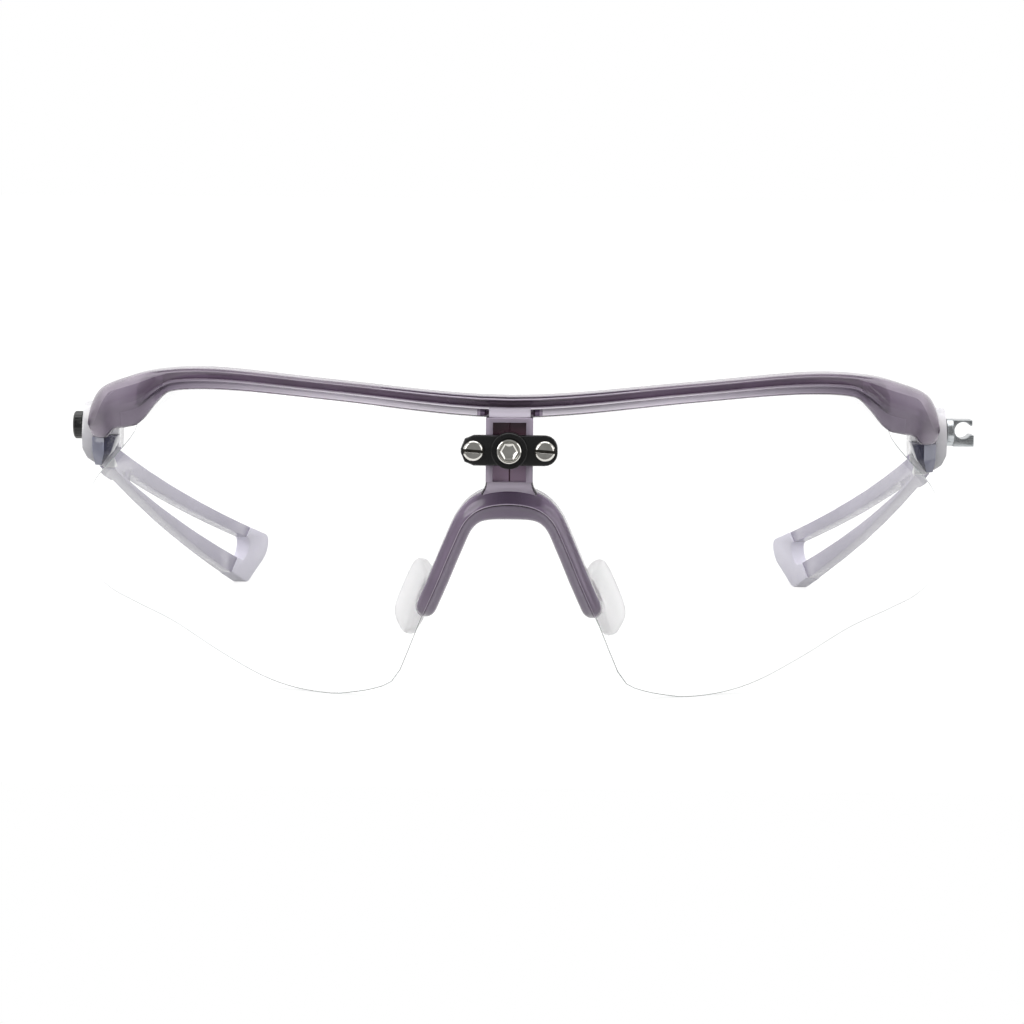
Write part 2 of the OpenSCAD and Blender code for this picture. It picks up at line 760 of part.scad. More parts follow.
// Threaded bush in a temple's cheek
module bush(side) {
    color(brass) seat() on_side(side) difference() {
        fitting_bar(bush_r, cheek_out - bush_len, cheek_out);
        fitting_bar(stud_r + run_gap, cheek_out - bush_len - over, cheek_out + over);
    }
}

module washer(side) {
    color([0.25, 0.25, 0.27]) seat() on_side(side) difference() {
        fitting_bar(fitting_r, cheek_out, washer_out);
        fitting_bar(stud_r + run_gap, cheek_out - over, washer_out + over);
    }
}

module stud(side) {
    color(steel) seat() on_side(side)
        fitting_bar(stud_r, cheek_out - bush_len + stud_short, washer_out);
}

module knob_bush() {
    bush(-1);
}

module knob_washer() {
    washer(-1);
}

module knob_stud() {
    stud(-1);
}

module knob_cap() {
    chamfer = 0.35;
    color([0.05, 0.05, 0.06]) seat() on_side(-1) {
        fitting_bar(fitting_r, washer_out, washer_out + knob_t - chamfer);
        translate([washer_out + knob_t - chamfer, cheek_y, fitting_z]) rotate([0, 90, 0])
            cylinder(h = chamfer, r1 = fitting_r, r2 = fitting_r - chamfer);
    }
}

module clip_bush() {
    bush(1);
}

module clip_washer() {
    washer(1);
}

module clip_stud() {
    stud(1);
}

// Steel clip: a round flange and a jaw that is open to the outside
module cable_clip() {
    flange_out = washer_out + flange_t;
    jaw_out = flange_out + jaw_reach;
    low = fitting_z - 0.96 * fitting_r;
    color(steel) seat() {
        fitting_bar(fitting_r, washer_out, flange_out);
        from_front(cheek_y - jaw_len / 2, cheek_y + jaw_len / 2) difference() {
            union() {
                translate([flange_out - 0.1, low]) square([jaw_reach + 0.1, jaw_z - low]);
                translate([flange_out - 0.1, jaw_z]) square([jaw_reach - 0.2, jaw_r + 0.3]);
            }
            translate([jaw_mid_x, jaw_z]) circle(r = jaw_r);
            translate([jaw_mid_x, jaw_z - jaw_mouth / 2])
                square([jaw_out - jaw_mid_x + over, jaw_mouth]);
        }
    }
}

brow_frame();
lens();
nose_bridge();
nose_pad_left();
nose_pad_right();
mount_bracket();
mount_socket_screw();
mount_nut_plate();
optic_screws();
hinge_block_left();
hinge_block_right();
hinge_screw_left();
hinge_screw_right();
temple_left();
temple_right();
temple_tip_left();
temple_tip_right();
knob_bush();
knob_washer();
knob_cap();
knob_stud();
clip_bush();
clip_washer();
cable_clip();
clip_stud();
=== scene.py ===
"""Looks of a pair of clear wrap shield glasses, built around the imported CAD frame.

Lengths are written in millimetres in the drawing's own frame, with Z = 0 on the table
and Y = 0 at the front of the brow, and are turned into metres in the row frame at the end.
"""

from __future__ import annotations

import json
import logging
import math
from bisect import bisect_right
from dataclasses import dataclass, replace
from enum import Enum
from typing import Callable, Iterable, Sequence

import bmesh
import bpy
from mathutils import Matrix, Vector

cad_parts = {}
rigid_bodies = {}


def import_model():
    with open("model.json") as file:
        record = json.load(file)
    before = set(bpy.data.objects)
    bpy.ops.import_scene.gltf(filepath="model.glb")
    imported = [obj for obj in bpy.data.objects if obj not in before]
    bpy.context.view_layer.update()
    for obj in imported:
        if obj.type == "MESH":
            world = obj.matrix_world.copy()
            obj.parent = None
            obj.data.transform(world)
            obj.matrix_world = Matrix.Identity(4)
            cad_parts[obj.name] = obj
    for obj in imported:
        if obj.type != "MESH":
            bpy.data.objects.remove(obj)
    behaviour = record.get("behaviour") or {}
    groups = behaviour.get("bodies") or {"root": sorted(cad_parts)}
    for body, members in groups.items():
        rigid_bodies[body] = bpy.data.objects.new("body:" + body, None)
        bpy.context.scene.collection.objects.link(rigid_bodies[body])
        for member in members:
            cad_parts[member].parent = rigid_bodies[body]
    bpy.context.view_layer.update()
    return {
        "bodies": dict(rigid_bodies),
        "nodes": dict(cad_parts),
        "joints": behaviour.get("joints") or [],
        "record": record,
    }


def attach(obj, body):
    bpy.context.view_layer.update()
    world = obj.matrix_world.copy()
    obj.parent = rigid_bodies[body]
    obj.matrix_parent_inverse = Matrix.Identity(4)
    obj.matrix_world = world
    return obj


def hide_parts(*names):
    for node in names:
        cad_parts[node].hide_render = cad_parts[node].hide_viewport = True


log = logging.getLogger("glasses")

Point = tuple[float, float]
Ring = list[Vector]
# Kinds of neighbouring walls, each with the place or distance that it ends before; their
# finishes paint light and shade as well as each wall's depth.
Walls = tuple[tuple[float, str], ...]
Triple = tuple[float, float, float]

# The drawing frame sits this far from the row frame, in millimetres.
SEAT_Y = 2.7
SEAT_Z = -43.0
MM = 0.001

# The upright axes of the hinges, and the level axis through both cheeks.
HINGE_X, HINGE_Y = 71.6, 45.755
CHEEK_Y, CHEEK_Z = 49.755, 42.0

# Refractive indices of the two main plastics.
POLYAMIDE_IOR = 1.51
POLYCARBONATE_IOR = 1.585

# Spans in which the values of the two noise patterns mostly lie.
CLOUD_SPAN = (0.35, 0.65)
GRAIN_SPAN = (0.3, 0.7)
# A cloud of colour is this many grains wide, and the grain's relief this high in mm.
CLOUD_GRAINS = 8
RELIEF_MM = 0.02


class Side(Enum):
    """Side of the glasses as seen from the front."""

    LEFT = -1
    RIGHT = 1


class Body(Enum):
    """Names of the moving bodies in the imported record."""

    FRONT = "frame_front"
    SLIDER = "optic_slider"
    LEFT_TEMPLE = "left_temple"
    RIGHT_TEMPLE = "right_temple"
    KNOB = "side_knob"
    CLIP = "cable_clip_body"


def row(x: float, y: float, z: float) -> Vector:
    """Turns a point of the drawing frame in millimetres into the row frame in metres.

    Args:
        x: Distance to the right.
        y: Distance back from the front of the brow.
        z: Height above the table.

    Returns:
        The point in metres.
    """
    return Vector((x * MM, (y + SEAT_Y) * MM, (z + SEAT_Z) * MM))


def linear(code: str) -> tuple[float, float, float, float]:
    """Turns an sRGB hex colour into linear values.

    Args:
        code: Colour such as "#8a7f93".

    Returns:
        Linear red, green, blue and an alpha of 1.
    """
    parts = [int(code[i : i + 2], 16) / 255 for i in (1, 3, 5)]
    values = [p / 12.92 if p <= 0.04045 else ((p + 0.055) / 1.055) ** 2.4 for p in parts]
    return (values[0], values[1], values[2], 1.0)


def add_node(
    tree: bpy.types.NodeTree,
    kind: str,
    settings: dict[str, object] | None = None,
    links: dict[str, bpy.types.NodeSocket] | None = None,
) -> bpy.types.Node:
    """Adds one node with its settings and the links into it.

    Args:
        tree: Node tree that gets the node.
        kind: Type name of the node.
        settings: Values by input name, or by property name after a dot.
        links: Output sockets by the name or number of the input they feed.

    Returns:
        The new node.
    """
    node = tree.nodes.new(kind)
    for name, value in (settings or {}).items():
        if name.startswith("."):
            setattr(node, name[1:], value)
        else:
            node.inputs[int(name) if name.isdigit() else name].default_value = value
    for name, socket in (links or {}).items():
        tree.links.new(socket, node.inputs[int(name) if name.isdigit() else name])
    return node


@dataclass(frozen=True)
class Finish:
    """One surface finish, from its real material and the way it was made.

    The colour goes from core to the clouds of colour and shade between the two distances
    of core_mm from the mid-plane, in millimetres; several smoky finishes use this to paint
    light and shade along the brow and the arch.
    of core_mm from the mid-plane, in millimetres.
    """

    name: str
    colour: str
    shade: str
    roughness: float
    grain_mm: float
    slot: str
    metallic: float = 0.0
    ior: float = 1.5
    clear: float = 0.0
    core: str = ""
    core_mm: Point = (0.0, 1.0)
    bump: float = 0.0
    rough_swing: float = 0.08
    stretch: Triple = (1.0, 1.0, 1.0)

    def variant(self, kind: str, colour: str, shade: str, **changes: object) -> Finish:
        """Gives the finish of another wall of the same moulding.

        Args:
            kind: Word that is added to the name.
            colour: Paler colour of its clouds.
            shade: Deeper colour of its clouds.
            changes: Other values that differ.

        Returns:
            The finish.
        """
        name = f"{self.name}_{kind}"
        return replace(self, name=name, colour=colour, shade=shade, **changes)

    def make(self) -> bpy.types.Material:
        """Builds the node material: clouded colour, uneven gloss and a fine bump.

        Returns:
            The material.
        """
        material = bpy.data.materials.new(self.name)
        material.use_nodes = True
        tree = material.node_tree
        tree.nodes.clear()
        place = add_node(tree, "ShaderNodeTexCoord")
        stretched = add_node(tree, "ShaderNodeMapping", {"Scale": self.stretch},
                             {"Vector": place.outputs["Object"]})
        # Slow clouds follow the flow of the melt, or the wear on a metal.
        clouds = add_node(tree, "ShaderNodeTexNoise", {
            "Scale": 1 / (self.grain_mm * CLOUD_GRAINS * MM), "Detail": 3.0, "Roughness": 0.5,
        }, {"Vector": stretched.outputs["Vector"]})
        grain = add_node(tree, "ShaderNodeTexNoise", {
            "Scale": 1 / (self.grain_mm * MM), "Detail": 2.0, "Roughness": 0.6,
        }, {"Vector": stretched.outputs["Vector"]})
        tint = add_node(tree, "ShaderNodeValToRGB", links={"Fac": clouds.outputs["Fac"]})
        for stop, position, code in zip(
            tint.color_ramp.elements, CLOUD_SPAN, (self.shade, self.colour)
        ):
            stop.position = position
            stop.color = linear(code)
        gloss = add_node(tree, "ShaderNodeMapRange", {
            "From Min": GRAIN_SPAN[0], "From Max": GRAIN_SPAN[1],
            "To Min": max(0.0, self.roughness - self.rough_swing),
            "To Max": self.roughness + self.rough_swing,
        }, {"Value": grain.outputs["Fac"]})
        relief = add_node(tree, "ShaderNodeBump", {
            "Strength": self.bump, "Distance": RELIEF_MM * MM,
        }, {"Height": grain.outputs["Fac"]})
        colour = tint.outputs["Color"]
        if self.core:
            # Painted light and shade: the colour changes from the core colour with the distance
            # from the mid-plane.
            split = add_node(
                tree, "ShaderNodeSeparateXYZ", links={"Vector": place.outputs["Object"]})
            away = add_node(
                tree, "ShaderNodeMath", {".operation": "ABSOLUTE"}, {"0": split.outputs["X"]})
            share = add_node(tree, "ShaderNodeMapRange", {
                ".interpolation_type": "SMOOTHSTEP", "From Min": self.core_mm[0] * MM,
                "From Max": self.core_mm[1] * MM,
            }, {"Value": away.outputs["Value"]})
            blend = add_node(tree, "ShaderNodeMix", {
                ".data_type": "RGBA", "6": linear(self.core),
            }, {"0": share.outputs["Result"], "7": colour})
            colour = blend.outputs[2]
        settings: dict[str, object] = {
            "Metallic": self.metallic, "Transmission Weight": self.clear}
        if self.metallic == 0:
            settings["IOR"] = self.ior
        surface = add_node(tree, "ShaderNodeBsdfPrincipled", settings, {
            "Base Color": colour, "Roughness": gloss.outputs["Result"],
            "Normal": relief.outputs["Normal"],
        })
        add_node(tree, "ShaderNodeOutputMaterial", links={"Surface": surface.outputs["BSDF"]})
        return material


class Finishes:
    """Every finish of the glasses, made once and handed to the pieces."""

    def __init__(self) -> None:
        """Makes one material for each finish."""
        # Smoke-tinted polyamide, injection moulded and polished: light comes through it
        # softened and greyish purple, and its ribs shine.
        smoke = Finish("smoked_polyamide", "#b5a7b8", "#a699aa", 0.14, 1.5, "smoky_plastic",
                       ior=POLYAMIDE_IOR, clear=0.5, rough_swing=0.04)
        # Lavender-tinted polyamide of the temples, moulded: cloudy and light.
        lavender = Finish("lavender_polyamide", "#9c92b2", "#8c82a3", 0.2, 2.5,
                          "temple_plastic", ior=POLYAMIDE_IOR, clear=0.14, rough_swing=0.05)
        listed = (
            smoke,
            # The full wall of the arch, which reads deeper than the brow, with painted shade
            # that darkens it towards the middle. It also paints shade on the brow's top in the
            # middle, beside the tab and on the rails' outer sides.
            smoke.variant("full", "#907f97", "#7c6c84", roughness=0.12, clear=0.45,
                          rough_swing=0.03, core="#5a4a61", core_mm=(0, 8)),
            # The brow's ends, solid and deep, which thin out towards the hinges. Their colour
            # goes
            # from dark inwards to light at the hinges: partly the thinning, partly painted light
            # and shade.
            smoke.variant("end", "#b3a5b6", "#a497a8", roughness=0.12, clear=0.45,
                          rough_swing=0.03, core="#7b6c82", core_mm=(70, 74)),
            # The thick rib of the same moulding, dark partly from its depth and partly from
            # painted shade, which deepens towards the middle. It also paints the dark groove and
            # lines by the ridges and the bottom edge, and the shade in the tab's corners and on
            # the column foot's sides.
            smoke.variant("rib", "#6b566f", "#574459", roughness=0.12, clear=0.35,
                          rough_swing=0.03, core="#2a1e2a", core_mm=(0, 16)),
            # Its middling walls, such as the guide column's rails. The same finish paints the
            # highlight along the arch's ridge and over the brow's middle, and lightens the tab's
            # corners towards the lip.
            smoke.variant("pale", "#c2b6c7", "#b3a7b9", clear=0.35, rough_swing=0.03),
            # Painted shade in the dark crease under the ridge at the brow's ends, which fades
            # into the ends.
            smoke.variant("crease", "#7b6c82", "#706177", roughness=0.12, clear=0.4,
                          rough_swing=0.03, core="#6b566f", core_mm=(60, 67)),
            # The brow's lower lip, a thin wall, with painted light that is near white in the
            # middle and darkens outwards.
            smoke.variant("lip", "#7f7086", "#75667c", clear=0.15, rough_swing=0.03,
                          core="#f3eef6", core_mm=(22, 70)),
            # Painted shade: the fine dark line over the lip, darkest in the middle and fading
            # outwards.
            smoke.variant("line", "#c8bfcd", "#bbb1c0", clear=0.15, rough_swing=0.03,
                          core="#57465c", core_mm=(9, 30)),
            # Painted shade on the inner slope of the arch, which faces away from the light, and
            # on its outer rim.
            smoke.variant("slope", "#836f8d", "#6e5c78", roughness=0.12, clear=0.3,
                          rough_swing=0.03),
            # Painted light on the flat tab over the column, a little deeper than on the lips.
            smoke.variant("tab", "#ddd6e2", "#d0c8d6", clear=0.2, rough_swing=0.03),
            # Painted light on the lower part of the column's recess, where light comes in from
            # below.
            smoke.variant("floor", "#cdb2cb", "#bea3bc", roughness=0.2, clear=0.1,
                          rough_swing=0.03),
            # Painted shade of the column's recess, on its floor, where little light returns.
            smoke.variant("deep", "#70525f", "#574049", roughness=0.25, grain_mm=1.2,
                          clear=0.1),
            # Hard-coated polycarbonate, moulded and polished: all but unseen face on.
            Finish("clear_polycarbonate", "#ffffff", "#fefefe", 0.0, 40.0, "clear_lens",
                   ior=POLYCARBONATE_IOR, clear=1.0, rough_swing=0.0),
            # The lens's cut rim, where light travels along the sheet and turns grey-green.
            Finish("polycarbonate_rim", "#98a49f", "#8b9893", 0.2, 2.0, "clear_lens",
                   ior=POLYCARBONATE_IOR, clear=0.35, rough_swing=0.05),
            # Liquid silicone rubber, moulded in a satin mould: milky and soft.
            Finish("milky_silicone", "#ffffff", "#fcfbfc", 0.45, 1.0, "pad_silicone",
                   ior=1.41, clear=0.75, rough_swing=0.05),
            # Glass-filled nylon, moulded with a fine spark-eroded texture: dull black.
            Finish("black_nylon", "#0c0c0d", "#070708", 0.33, 0.25, "black_plastic",
                   ior=1.5, bump=0.5),
            # Nickel-plated steel, turned and polished, with faint turning marks.
            Finish("nickel_plate", "#dedcd6", "#cfcdc7", 0.1, 0.2, "bright_steel",
                   metallic=1.0, bump=0.06, rough_swing=0.04),
            # The same screws' milled slots, left rough and given painted shade, so they look
            # dark.
            Finish("milled_shaded_slot", "#55524e", "#403e3b", 0.5, 0.1, "bright_steel",
                   metallic=1.0, bump=0.3),
            # Stainless steel, tumbled to a satin: greyer and softer reflections.
            Finish("satin_stainless", "#c4c7c9", "#aeb2b5", 0.24, 0.15, "plain_steel",
                   metallic=1.0, bump=0.12, stretch=(1.0, 4.0, 4.0)),
            # Dark smoke-tinted polycarbonate of the hinge blocks: glossy blue-grey facets.
            Finish("dark_polycarbonate", "#6c6a84", "#59576f", 0.1, 1.6, "hinge_plastic",
                   ior=POLYCARBONATE_IOR, clear=0.5, rough_swing=0.03),
            # Painted light: a lit copy of the block's polycarbonate for the slanting facets,
            # which turn towards the light.
            Finish("lit_polycarbonate", "#c6c7da", "#b0b1c6", 0.08, 1.6, "hinge_plastic",
                   ior=POLYCARBONATE_IOR, clear=0.5, rough_swing=0.03),
            lavender,
            # The temples' thin cheeks, nearly colourless at the hinge.
            lavender.variant("thin", "#ffffff", "#f8f6fb", roughness=0.1, clear=0.25,
                             rough_swing=0.03),
            # Thermoplastic rubber moulded over the temple's end: matt and paler.
            Finish("soft_rubber", "#efecfa", "#e7e3f3", 0.5, 0.8, "tip_rubber",
                   ior=1.5, clear=0.1, bump=0.1),
            # Turned brass of the threaded bushes.
            Finish("turned_brass", "#c9a45c", "#b48f48", 0.25, 0.15, "bush_brass",
                   metallic=1.0, bump=0.15, stretch=(8.0, 1.0, 1.0)),
            # Moulded acetal washers, dark and waxy.
            Finish("dark_acetal", "#47474b", "#39393d", 0.42, 0.3, "dark_washer",
                   ior=1.48, bump=0.15),
        )
        self.by_name: dict[str, Finish] = {one.name: one for one in listed}
        self.materials: dict[str, bpy.types.Material] = {
            one.name: one.make() for one in listed}

    def dress(self, piece: bpy.types.Object, name: str) -> None:
        """Gives a piece one finish all over.

        Args:
            piece: New piece or CAD node.
            name: Name of the finish.
        """
        piece.data.materials.clear()
        piece.data.materials.append(self.materials[name])

    def add(self, piece: bpy.types.Object, name: str) -> int:
        """Adds a further finish to a piece and returns its number there."""
        piece.data.materials.append(self.materials[name])
        return len(piece.data.materials) - 1


def between(p: Sequence[Point], i: int, t: float) -> Point:
    """Finds a point on the smooth curve through control points.

    Args:
        p: Control points.
        i: Number of the point that the stretch starts at.
        t: Share of the stretch, from 0 to 1.

    Returns:
        The point.
    """
    a, b, c, d = (p[max(0, min(len(p) - 1, i + k))] for k in (-1, 0, 1, 2))
    return tuple(
        0.5 * (2 * b[k] + (c[k] - a[k]) * t + (2 * a[k] - 5 * b[k] + 4 * c[k] - d[k]) * t * t
               + (3 * b[k] - a[k] - 3 * c[k] + d[k]) * t**3)
        for k in (0, 1)
    )


def smooth(p: Sequence[Point], steps: int = 6) -> list[Point]:
    """Draws the smooth curve through control points.

    Args:
        p: Control points.
        steps: Number of steps between each two.

    Returns:
        Points along the curve.
    """
    line = [between(p, i, k / steps) for i in range(len(p) - 1) for k in range(steps)]
    return line + [p[-1]]


def half_curve(p: Sequence[Point], steps: int = 6) -> list[Point]:
    """Draws one half of a curve that runs level through the mid-plane.

    Args:
        p: Control points from the mid-plane outwards.
        steps: Number of steps between each two.

    Returns:
        Points from the mid-plane outwards.
    """
    whole = smooth([(-x, z) for x, z in reversed(p[1:])] + list(p), steps)
    return whole[len(whole) // 2 :]


def height_at(line: Sequence[Point], x: float) -> float:
    """Reads a curve's height at a distance from the mid-plane.

    Args:
        line: Points of the curve, outwards from the mid-plane.
        x: Distance from the mid-plane.

    Returns:
        The height.
    """
    across = [p[0] for p in line]
    i = min(max(bisect_right(across, abs(x)), 1), len(line) - 1)
    (x0, z0), (x1, z1) = line[i - 1], line[i]
    t = 0.0 if x1 == x0 else min(1.0, max(0.0, (abs(x) - x0) / (x1 - x0)))
    return z0 + (z1 - z0) * t


def ease(low: float, high: float, value: float) -> float:
    """Rises smoothly from 0 at low to 1 at high."""
    t = min(1.0, max(0.0, (value - low) / (high - low)))
    return t * t * (3 - 2 * t)


def pick(*pieces: bpy.types.Object) -> None:
    """Selects some pieces and nothing else, and makes the first one active.

    Args:
        pieces: The pieces.
    """
    bpy.ops.object.select_all(action="DESELECT")
    for piece in pieces:
        piece.select_set(True)
    bpy.context.view_layer.objects.active = pieces[0]


def start(name: str, add: Callable[..., object], **sizes: object) -> bpy.types.Object:
    """Adds a primitive with nothing else selected.

    Args:
        name: Name of the new piece.
        add: Operator that adds the primitive.
        sizes: Its sizes, in metres.

    Returns:
        The new object.
    """
    bpy.ops.object.select_all(action="DESELECT")
    add(**sizes)
    piece = bpy.context.object
    piece.name = name
    piece.data.name = name
    return piece


def loft(name: str, rings: Sequence[Ring]) -> bpy.types.Object:
    """Extrudes a ring of points from section to section and fills both ends.

    Each point keeps its place in the ring as an attribute, for the finishes.

    Args:
        name: Name of the new piece.
        rings: Sections with the same number of points, in the row frame.

    Returns:
        The new piece, with its normals outwards.
    """
    count = len(rings[0])
    piece = start(name, bpy.ops.mesh.primitive_circle_add, vertices=count, radius=0.01)
    bpy.ops.object.mode_set(mode="EDIT")
    shape = bmesh.from_edit_mesh(piece.data)
    place = shape.verts.layers.int.new("place")
    for i, v in enumerate(shape.verts):
        v[place] = i
    for section, ring in enumerate(rings):
        if section:
            bpy.ops.mesh.extrude_region_move()
            shape = bmesh.from_edit_mesh(piece.data)
            place = shape.verts.layers.int["place"]
        for v in shape.verts:
            if v.select:
                v.co = ring[v[place]]
        bmesh.update_edit_mesh(piece.data)
    shape = bmesh.from_edit_mesh(piece.data)
    open_edges = [e for e in shape.edges if e.is_boundary]
    for e in shape.edges:
        e.select = False
    for e in open_edges:
        e.select = True
    shape.select_flush(True)
    bmesh.update_edit_mesh(piece.data)
    bpy.ops.mesh.select_mode(type="EDGE")
    bpy.ops.mesh.edge_face_add()
    bpy.ops.mesh.select_mode(type="VERT")
    bpy.ops.mesh.select_all(action="SELECT")
    bpy.ops.mesh.normals_make_consistent(inside=False)
    bpy.ops.object.mode_set(mode="OBJECT")
    return piece


def chosen(walls: Walls, where: float) -> str:
    """Gives the kind of the wall that a place or distance falls in."""
    return next(kind for end, kind in walls if where < end)


# The finishes of the walls paint highlights and shade as well as each wall's depth.
def banded(
    piece: bpy.types.Object, finishes: Finishes, band: Callable[[int, Vector], str]
) -> None:
    """Gives the faces of a lofted smoky piece the finishes of its thick and thin walls.

    Args:
        piece: The dressed piece.
        finishes: The finishes.
        band: Gives the kind of wall, or nothing for the plain one, from a face's place in
            its ring and its middle.
    """
    places = piece.data.attributes["place"].data
    numbers: dict[str, int] = {}
    for face in piece.data.polygons:
        marks = {places[i].value for i in face.vertices}
        kind = band(min(marks), face.center) if len(marks) == 2 else ""
        if kind and max(marks) - min(marks) == 1:
            if kind not in numbers:
                numbers[kind] = finishes.add(piece, f"smoked_polyamide_{kind}")
            face.material_index = numbers[kind]


def mark(
    piece: bpy.types.Object,
    finishes: Finishes,
    name: str,
    test: Callable[[bpy.types.MeshPolygon], bool],
) -> None:
    """Gives some faces of a dressed piece another finish.

    Args:
        piece: The dressed piece.
        finishes: The finishes.
        name: Name of the finish.
        test: Tells whether a face gets it.
    """
    number = finishes.add(piece, name)
    for face in piece.data.polygons:
        if test(face):
            face.material_index = number


def apply_modifier(
    piece: bpy.types.Object, kind: str, settings: dict[str, object]
) -> None:
    """Adds one modifier and applies it.

    Args:
        piece: The piece.
        kind: Type name of the modifier.
        settings: Its properties.
    """
    modifier = piece.modifiers.new(kind.lower(), kind)
    for name, value in settings.items():
        setattr(modifier, name, value)
    pick(piece)
    bpy.ops.object.modifier_apply(modifier=modifier.name)


def round_edges(
    piece: bpy.types.Object, width: float, steps: int = 2, angle: float = 30
) -> None:
    """Rounds the sharp edges of a piece.

    Args:
        piece: The piece.
        width: Width of the rounding, in millimetres.
        steps: Number of faces across it.
        angle: Least angle of an edge that is rounded, in degrees.
    """
    apply_modifier(piece, "BEVEL", {
        "width": width * MM, "segments": steps, "limit_method": "ANGLE",
        "angle_limit": math.radians(angle), "harden_normals": False})


def shade(piece: bpy.types.Object, angle: float = 35) -> None:
    """Shades a piece smooth except across sharp edges.

    Args:
        piece: The piece.
        angle: Angle from which an edge stays sharp, in degrees.
    """
    pick(piece)
    bpy.ops.object.shade_smooth_by_angle(angle=math.radians(angle))


def cut(piece: bpy.types.Object, tool: bpy.types.Object) -> None:
    """Cuts one shape out of another and removes the cutting shape.

    Args:
        piece: The piece that is cut.
        tool: The cutting shape.
    """
    apply_modifier(piece, "BOOLEAN", {
        "operation": "DIFFERENCE", "object": tool, "solver": "EXACT"})
    bpy.data.objects.remove(tool)


def join(pieces: Sequence[bpy.types.Object]) -> bpy.types.Object:
    """Joins several shapes into the first one.

    Args:
        pieces: The shapes.

    Returns:
        The joined piece.
    """
    pick(*pieces)
    bpy.ops.object.join()
    return pieces[0]


def copied(piece: bpy.types.Object, name: str, move: Matrix) -> bpy.types.Object:
    """Copies a piece to another place.

    Args:
        piece: The piece.
        name: Name of the copy.
        move: Move from the piece's place to the copy's.

    Returns:
        The copy, with its own mesh.
    """
    twin = piece.copy()
    twin.data = piece.data.copy()
    twin.name = twin.data.name = name
    bpy.context.collection.objects.link(twin)
    twin.data.transform(move)
    return twin


def mirrored(piece: bpy.types.Object, name: str) -> bpy.types.Object:
    """Copies a piece to the other side of the mid-plane.

    Args:
        piece: The piece on one side.
        name: Name of the copy.

    Returns:
        The copy, with its faces outwards.
    """
    twin = copied(piece, name, Matrix.Diagonal((-1.0, 1.0, 1.0, 1.0)))
    twin.data.flip_normals()
    return twin


def raw_box(name: str, place: Matrix, size: Sequence[float]) -> bpy.types.Object:
    """Adds a plain box, to be shaped further.

    Args:
        name: Name of the new piece.
        place: Place and turn of its middle, in metres.
        size: Its width, depth and height, in millimetres.

    Returns:
        The box.
    """
    piece = start(name, bpy.ops.mesh.primitive_cube_add, size=1.0)
    piece.data.transform(place @ Matrix.Diagonal((*(MM * side for side in size), 1.0)))
    return piece


def softened_node(frame: dict, node: str, name: str, width: float) -> bpy.types.Object:
    """Copies a CAD node's mesh and rounds only its edges, so that its facets stay.

    Args:
        frame: The loaded frame.
        node: Name of the CAD node.
        name: Name of the copy.
        width: Width of the rounding, in millimetres.

    Returns:
        The copy.
    """
    piece = start(name, bpy.ops.mesh.primitive_plane_add, size=0.01)
    piece.data = frame["nodes"][node].data.copy()
    piece.data.name = name
    bpy.ops.object.mode_set(mode="EDIT")
    bpy.ops.mesh.select_all(action="SELECT")
    bpy.ops.mesh.remove_doubles(threshold=1e-6)
    bpy.ops.mesh.dissolve_limited(angle_limit=math.radians(1))
    bpy.ops.object.mode_set(mode="OBJECT")
    round_edges(piece, width)
    shade(piece)
    return piece


def turned(
    name: str, profile: Sequence[Point], place: Callable[[float, float, float], Vector],
    count: int = 48,
) -> bpy.types.Object:
    """Turns a profile round an axis.

    Args:
        name: Name of the new piece.
        profile: Radius and distance along the axis, from one end to the other.
        place: Gives the place of an (along, across, up) offset from the axis.
        count: Number of sides.

    Returns:
        The new piece.
    """
    rings = [
        [place(along, radius * math.cos(2 * math.pi * i / count),
               radius * math.sin(2 * math.pi * i / count)) for i in range(count)]
        for radius, along in profile
    ]
    return loft(name, rings)


def finished(
    piece: bpy.types.Object, body: Body, finishes: Finishes, finish: str, *nodes: str
) -> None:
    """Dresses a piece, hands it to its body and hides the CAD nodes that it replaces.

    Args:
        piece: The finished mesh.
        body: Body that it moves with.
        finishes: The finishes.
        finish: Name of its finish.
        nodes: CAD nodes that it replaces.
    """
    finishes.dress(piece, finish)
    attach(piece, body.value)
    if nodes:
        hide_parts(*nodes)
    log.info("%s: %d faces", piece.name, len(piece.data.polygons))


